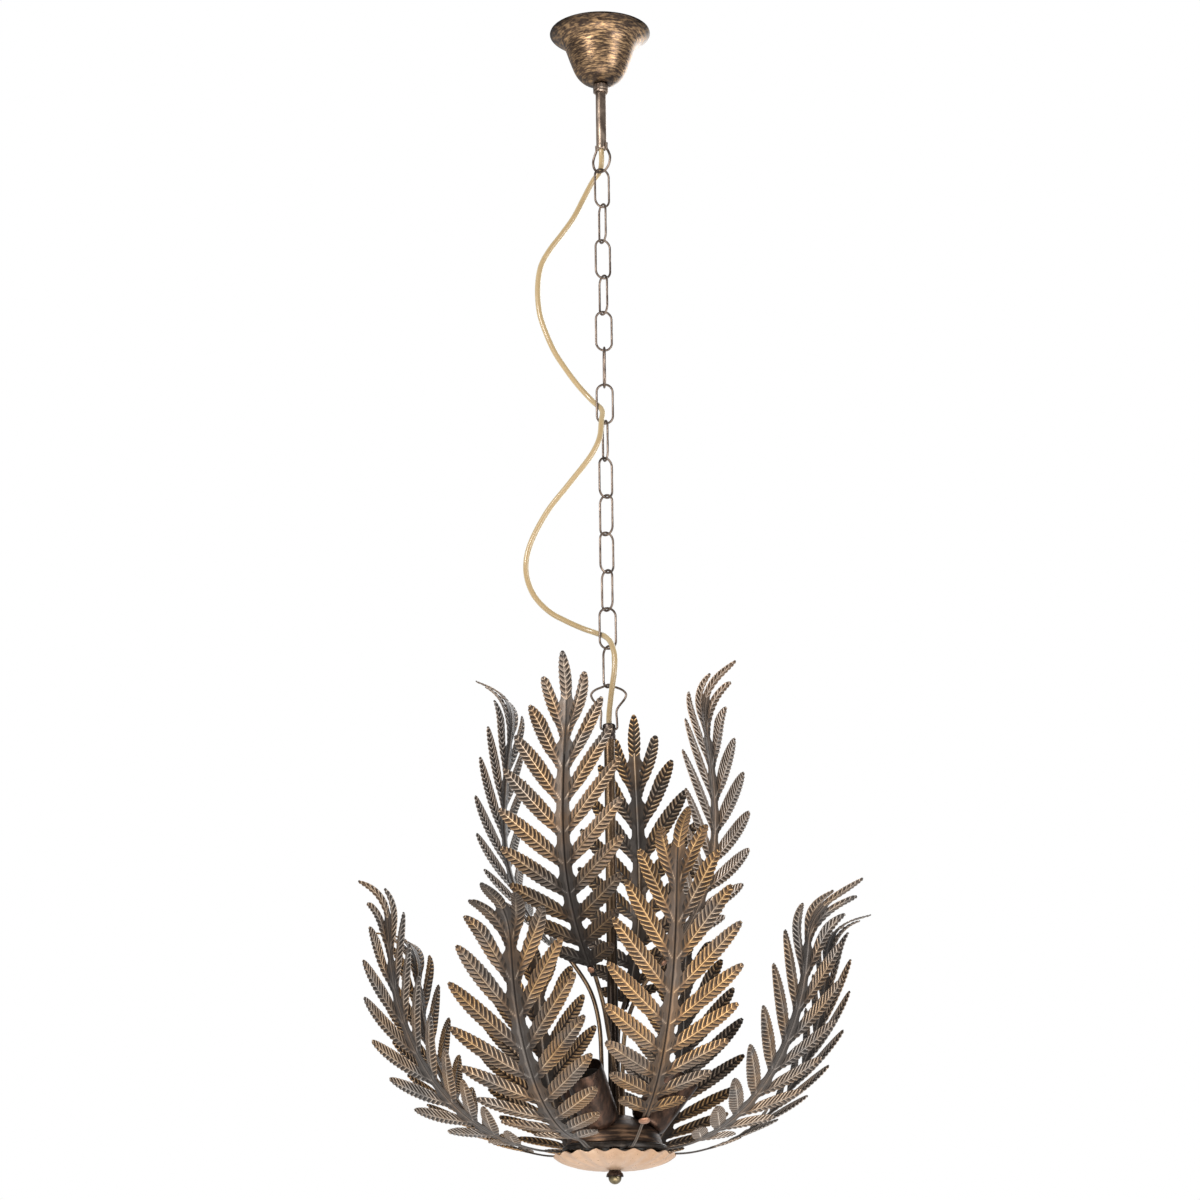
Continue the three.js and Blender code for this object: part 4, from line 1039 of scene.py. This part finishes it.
def rib_rows(length, half, first, ahead_room, behind_room):
    """A leaflet in rows along its ribs: along, across and out of it, and its wear on both sides."""
    count = len(RIB_STEPS)
    rows = []
    start, end = floor(first / RIB_PITCH * count), ceil(length / RIB_PITCH * count)
    for i in range(start, end + 1):
        c = i * RIB_PITCH / count
        height, outside, inside = RIB_STEPS[i % count]
        ahead = rib_reach(c, length, half, ahead_room)
        behind = rib_reach(c, length, half, behind_room)
        w = RIB_SHARES * np.where(RIB_SHARES < 0, ahead, behind) * (1.01 + 0.06 * height)
        across = np.abs(RIB_SHARES)
        u = np.minimum(c + rib_ahead(w), length)
        vein = np.exp(-((w / VEIN_HALF) ** 2)) * min(1, max(0, (length - c) / 12))
        rib = height * RIB_HEIGHT * smoothstep(across, 0.03, 0.2)
        rib = rib * (1 - 0.35 * smoothstep(across, 0.8, 1))
        edge = smoothstep(across, 0.92, 1)
        off_vein = smoothstep(across, 0.03, 0.15)
        front = np.maximum.reduce([outside * off_vein, 0.9 * vein, 0.6 * edge])
        back = np.maximum(inside * off_vein, 0.5 * edge)
        rows.append((u, w, rib + VEIN_HEIGHT * vein - 0.016 * w**2, front, back))
    return rows


def room_beside(sweep, neighbour, distance):
    """Half the width that a leaflet has before the slot that parts it from its neighbour."""
    apart = distance * sin(radians(neighbour))
    spread = abs(sin(radians(sweep - neighbour)))
    return lambda u: max((apart + u * spread - LEAFLET_SLOT) / 2, 3.0)


def joined(rows):
    """Each column of the rows' values as one array."""
    return [np.concatenate(column) for column in zip(*rows)]


def leaflet_grid(i, side, droop):
    """One leaflet of the flat stamping as columns of s, v, h and wear, and its faces."""
    length, sweep = LEAFLET_LENGTHS[i], LEAFLET_SWEEPS[i]
    place = leaflet_place(i)
    root = float(midrib_half(place))
    ahead, aside = cos(radians(sweep)), sin(radians(sweep))
    following, leading = min(i + 1, len(LEAFLET_SWEEPS) - 1), max(i - 1, 0)
    next_room = room_beside(sweep, LEAFLET_SWEEPS[following], leaflet_place(i + 1) - place)
    last_room = room_beside(sweep, LEAFLET_SWEEPS[leading], place - leaflet_place(i - 1))
    first = -rib_ahead(LEAFLET_HALF) - LEAFLET_HALF * ahead / aside - 2
    rows = rib_rows(length, LEAFLET_HALF, first, next_room, last_room)
    u, w, h, front, back = joined(rows)
    s = place + u * ahead - w * aside
    v = root + u * aside + w * ahead
    settled = smoothstep(v - root, 0, 8)
    h = h * settled + droop * np.clip(u / length, 0, 1) ** 2
    inner_end = root - LEAFLET_OVERLAP
    hidden = v <= inner_end
    faces = [f for f in grid_faces(len(rows), len(RIB_SHARES)) if not all(hidden[k] for k in f)]
    wear = 0.2 + 0.8 * settled
    return s, side * np.maximum(v, inner_end), h, wear * front, wear * back, faces


def tip_grid():
    """The last leaflet, in line with the midrib."""
    rows = rib_rows(TIP_LEAFLET, TIP_HALF, 0, lambda u: TIP_HALF, lambda u: TIP_HALF)
    u, w, h, front, back = joined(rows)
    faces = grid_faces(len(rows), len(RIB_SHARES))
    return TIP_NECK + u, w, h * smoothstep(u, 0, 8), front, back, faces


def fillet(s):
    """How much wider the web is where a slot's sharp inner end is rounded."""
    wider = 0.0
    for i, sweep in enumerate(LEAFLET_SWEEPS):
        corner = leaflet_place(i) + 0.8 * LEAFLET_HALF / sin(radians(sweep)) + 1
        wider = max(wider, FILLET * exp(-(((s - corner) / FILLET_SPREAD) ** 2)))
    return wider


def midrib_grid(first, foot_half):
    """The flat midrib with a narrow groove outside and the veins that run into it."""
    last = TIP_NECK + 7
    stations = np.linspace(first, last, int(last - first))
    shares = np.array([-1, -0.8, -0.6, -0.4])
    rows = []
    for s in stations:
        half = float(midrib_half(s)) if s >= 0 else foot_half
        half += (TIP_HALF - 0.6 - half) * float(smoothstep(s, TIP_NECK - 16, TIP_NECK))
        root = half
        half += fillet(s)
        groove = min(GROOVE_HALF, 0.5 * half)
        trough = [-groove, -0.5 * groove, 0, 0.5 * groove, groove]
        v = np.concatenate([shares * half, trough, -shares[::-1] * half])
        inside = np.clip(1 - np.abs(v) / groove, 0, 1)
        depth = GROOVE_DEPTH * (1 - 0.8 * float(smoothstep(s, TIP_NECK - 60, last)))
        sunk = 0.25 * float(smoothstep(s, TIP_NECK - 6, TIP_NECK))
        vein = np.zeros(len(v))
        for i, sweep in enumerate(LEAFLET_SWEEPS):
            ahead, aside = cos(radians(sweep)), sin(radians(sweep))
            place = leaflet_place(i)
            off = (s - place) * aside - (np.abs(v) - float(midrib_half(place))) * ahead
            vein = np.maximum(vein, np.exp(-((off / WEB_VEIN_HALF) ** 2)))
        vein = vein * smoothstep(np.abs(v), groove, groove + 1.5)
        front = np.maximum(0.17 * (1 - inside), 0.9 * vein)
        front = np.maximum(front, 0.55 * np.exp(-(((np.abs(v) - groove) / 0.4) ** 2)))
        back = 0.1 + 0.8 * np.exp(-((v / WEB_VEIN_HALF) ** 2))
        below = 0.15 * smoothstep(np.abs(v), root - 1, root + 0.5)
        h = 0.35 * vein - depth * inside - sunk - below
        rows.append((np.full_like(v, s), v, h, front, back))
    return *joined(rows), grid_faces(len(rows), len(v))


BLADE_PARTS = [
    leaflet_grid(i, side, rng.uniform(-LEAFLET_DROOP, LEAFLET_DROOP))
    for i in range(len(LEAFLET_SWEEPS))
    for side in (1, -1)
]
BLADE_PARTS.append(tip_grid())


def add_leaf(name, leaf, place, first, foot_half, node):
    """A whole leaf. place turns s, v and h into points in the leaf's plane."""
    phase = rng.uniform(0, 6)
    points, faces, wear, along = [], [], [], []
    start = 0
    web = midrib_grid(first, foot_half)
    for s, v, h, front, back, outer_faces in [web, *BLADE_PARTS]:
        waved = h + WAVE_HEIGHT * np.sin(s / WAVE_LENGTH + phase) * smoothstep(np.abs(v), 5, 50)
        points += [place(s, v, waved + SHEET / 2), place(s, v, waved - SHEET / 2)]
        faces += [tuple(i + start for i in face) for face in sheet_faces(outer_faces, len(h))]
        wear += [front, back]
        along += [s, s]
        start += 2 * len(h)
    along = np.concatenate(along)
    shades = {key: np.interp(along, SHADE_PLACES, leaf[key]) for key in ("gold", "painted_shade", "painted_light")}
    shades["gold"][: 2 * len(web[0])] -= WEB_DULLNESS
    shades["rub"] = np.concatenate(wear)
    points = about_z(np.vstack(points), leaf["azimuth"])
    finish_piece(name, points, faces, "leaf_bronze", node, attributes=shades, sharp=70)


def add_leaf_rivet(name, rows, azimuth, s, radius=3.4, height=1.8, node=None):
    """A domed rivet head on the outer side of a midrib."""
    head = [
        (0, 0), (radius, 0), (radius, 0.25 * height), (0.93 * radius, 0.5 * height),
        (0.72 * radius, 0.8 * height), (0.4 * radius, 0.96 * height), (0, height),
    ]
    seat = about_z(bent(rows, [s], [0], [RIVET_SEAT]), azimuth)[0]
    slope = float(rows[2][s])
    normal = about_z([sin(slope), 0, -cos(slope)], azimuth)[0]
    turn = Vector((0, 0, 1)).rotation_difference(Vector(normal)).to_matrix().to_4x4()
    place = Matrix.Translation(Vector(seat)) @ turn
    lathe(name, head, 0, "rivet_copper", node, 32, place)


def add_lower_leaf(k, leaf):
    """A leaf on a flat stalk that is clamped under the hub plate."""
    blade = BLADE_START + leaf["reach"]
    steeper = leaf["steeper"]
    bends = [rise + steeper * max(0, 1 - i / STEEP_KNOTS) for i, rise in enumerate(LOWER_BEND)]
    ramp = 0.5 * (blade - STALK_FLAT_END) * tan(radians(bends[0]))
    start = (blade, STALK_LEVEL + ramp + leaf["lift"])
    rows = midrib_rows(start, bends, leaf["curl"], leaf["curl_from"])

    def place(s, v, h):
        upper = bent(rows, s, v, h, leaf["twist"])
        r = blade + s
        share = np.clip((r - STALK_FLAT_END) / (blade - STALK_FLAT_END), 0, 1)
        rise = ramp * share**2 + leaf["lift"] * smoothstep(share, 0, 1)
        lower = np.stack([r, v, STALK_LEVEL + rise - h], axis=-1)
        return np.where((s >= 0)[:, None], upper, lower)

    foot_half = leaf["foot_half"]
    add_leaf(f"fern_lower_{k}", leaf, place, STALK_START - blade, foot_half, f"lower_leaf_{k}")
    if foot_half < STALK_HALF:
        add_leaf_rivet(f"blade_rivet_{k}", rows, leaf["azimuth"], 0, radius=5.3, height=2.2)


def add_upper_leaf(k, leaf):
    """A leaf on a round rod that rises beside the column, with a rivet where the two meet."""
    azimuth, rise, radius, foot = (leaf[key] for key in ("azimuth", "rise", "radius", "foot"))
    rows = midrib_rows((radius, DOME_LEVEL + rise), UPPER_BEND, leaf["curl"], CURL_FROM)

    def place(s, v, h):
        return bent(rows, s, v, h)

    add_leaf(f"fern_upper_{k}", leaf, place, 0, MIDRIB_HALVES[0], f"upper_leaf_{k}")
    turn = azimuth - foot
    # Places on the rod: distance from the axis, then shares of the turn and of the rise
    shape = [
        (ROD_FOOT, 0, 0), (ROD_FOOT, 0, 0.16), (ROD_FOOT, 0.3, 0.34), (ROD_WAIST, 0.85, 0.6),
        (0.5 * radius, 1, 0.8),
    ]
    route = [
        about_z([out, 0, DOME_LEVEL + FITTING_GAP + height * rise], foot + share * turn)[0]
        for out, share, height in shape
    ]
    under = -(ROD_RADIUS + SHEET)
    route += [about_z(bent(rows, [s], [0], [under]), azimuth)[0] for s in (2, 11, 20)]
    points, faces = swept(centripetal(route, ROD_SPANS), ROD_RADIUS, ROD_SIDES)
    # Painted shade: each rod is darkened evenly, half way
    painted_shade = {"painted_shade": np.full(len(points), ROD_SHADE)}
    node = f"upper_stem_{k}"
    finish_piece(f"stem_rod_{k}", points, faces, "column_bronze", node, attributes=painted_shade)
    add_leaf_rivet(f"rivet_head_{k}", rows, azimuth, RIVET_PLACE, node=f"leaf_rivet_{k}")


for number, leaf in enumerate(LOWER_LEAVES, 1):
    add_lower_leaf(number, leaf)
for number, leaf in enumerate(UPPER_LEAVES, 1):
    add_upper_leaf(number, leaf)


# What is kept of the solids gets a finish of its own

KEPT = {
    "ceiling_strap": "zinc_steel", "stem_locknut": "zinc_steel",
    "terminal_block": "terminal_plastic", "collar_screw": "stem_bronze",
}
for node, slot in KEPT.items():
    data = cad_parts[node].data
    data.materials.clear()
    data.materials.append(LOOKS[slot])


# Floor and light

FLOOR_LEVEL = -1.9
FLOOR_HALF = 12
LAMP_MIDDLE = (0, 0, -0.8)
LAMP_HUB = (0, 0, -1.1)


def add_floor():
    mesh = bpy.data.meshes.new("floor")
    corners = [(FLOOR_HALF * x, FLOOR_HALF * y, 0) for x, y in ((-1, -1), (1, -1), (1, 1), (-1, 1))]
    mesh.from_pydata(corners, [], [(0, 1, 2, 3)])
    floor = bpy.data.objects.new("floor", mesh)
    floor.location.z = FLOOR_LEVEL
    made = Shader("floor_paint")
    made.set(
        Base_Color=made.mix(made.noise(3), (0.80, 0.80, 0.79), (0.84, 0.84, 0.83)),
        Roughness=0.8,
        Emission_Color=(1, 1, 1, 1),
        Emission_Strength=0.35,
    )
    mesh.materials.append(made.material)
    bpy.context.collection.objects.link(floor)


def add_light(name, place, target, size, power, color=(1, 1, 1)):
    """A round area light that faces a target."""
    data = bpy.data.lights.new(name, "AREA")
    data.shape = "DISK"
    data.size = size
    data.energy = power
    data.color = color
    light = bpy.data.objects.new(name, data)
    light.location = place
    light.rotation_euler = (Vector(target) - Vector(place)).to_track_quat("-Z", "Y").to_euler()
    bpy.context.collection.objects.link(light)


def add_world():
    """White behind the lamp, and a dimmer light from all around."""
    world = bpy.data.worlds.new("studio")
    bpy.context.scene.world = world
    world.use_nodes = True
    nodes, links = world.node_tree.nodes, world.node_tree.links
    seen = nodes["Background"]
    soft = nodes.new("ShaderNodeBackground")
    for node, color, strength in ((seen, (1, 1, 1, 1), 1.0), (soft, (0.95, 0.97, 1, 1), 0.3)):
        node.inputs["Color"].default_value = color
        node.inputs["Strength"].default_value = strength
    path = nodes.new("ShaderNodeLightPath")
    mix = nodes.new("ShaderNodeMixShader")
    links.new(path.outputs["Is Camera Ray"], mix.inputs["Fac"])
    links.new(soft.outputs["Background"], mix.inputs[1])
    links.new(seen.outputs["Background"], mix.inputs[2])
    links.new(mix.outputs["Shader"], nodes["World Output"].inputs["Surface"])


add_floor()
add_world()
add_light("key", (-1.7, -2.2, 0.2), LAMP_MIDDLE, 1.1, 74, (1, 0.97, 0.93))
add_light("fill", (2.2, -1.6, -0.9), LAMP_MIDDLE, 1.4, 42)
add_light("rim", (0.9, 2.0, 0.2), LAMP_MIDDLE, 1.8, 22)
add_light("under", (0.1, -0.7, -1.85), LAMP_HUB, 1.2, 18, (1, 0.95, 0.88))
bpy.context.scene.view_settings.view_transform = "Standard"
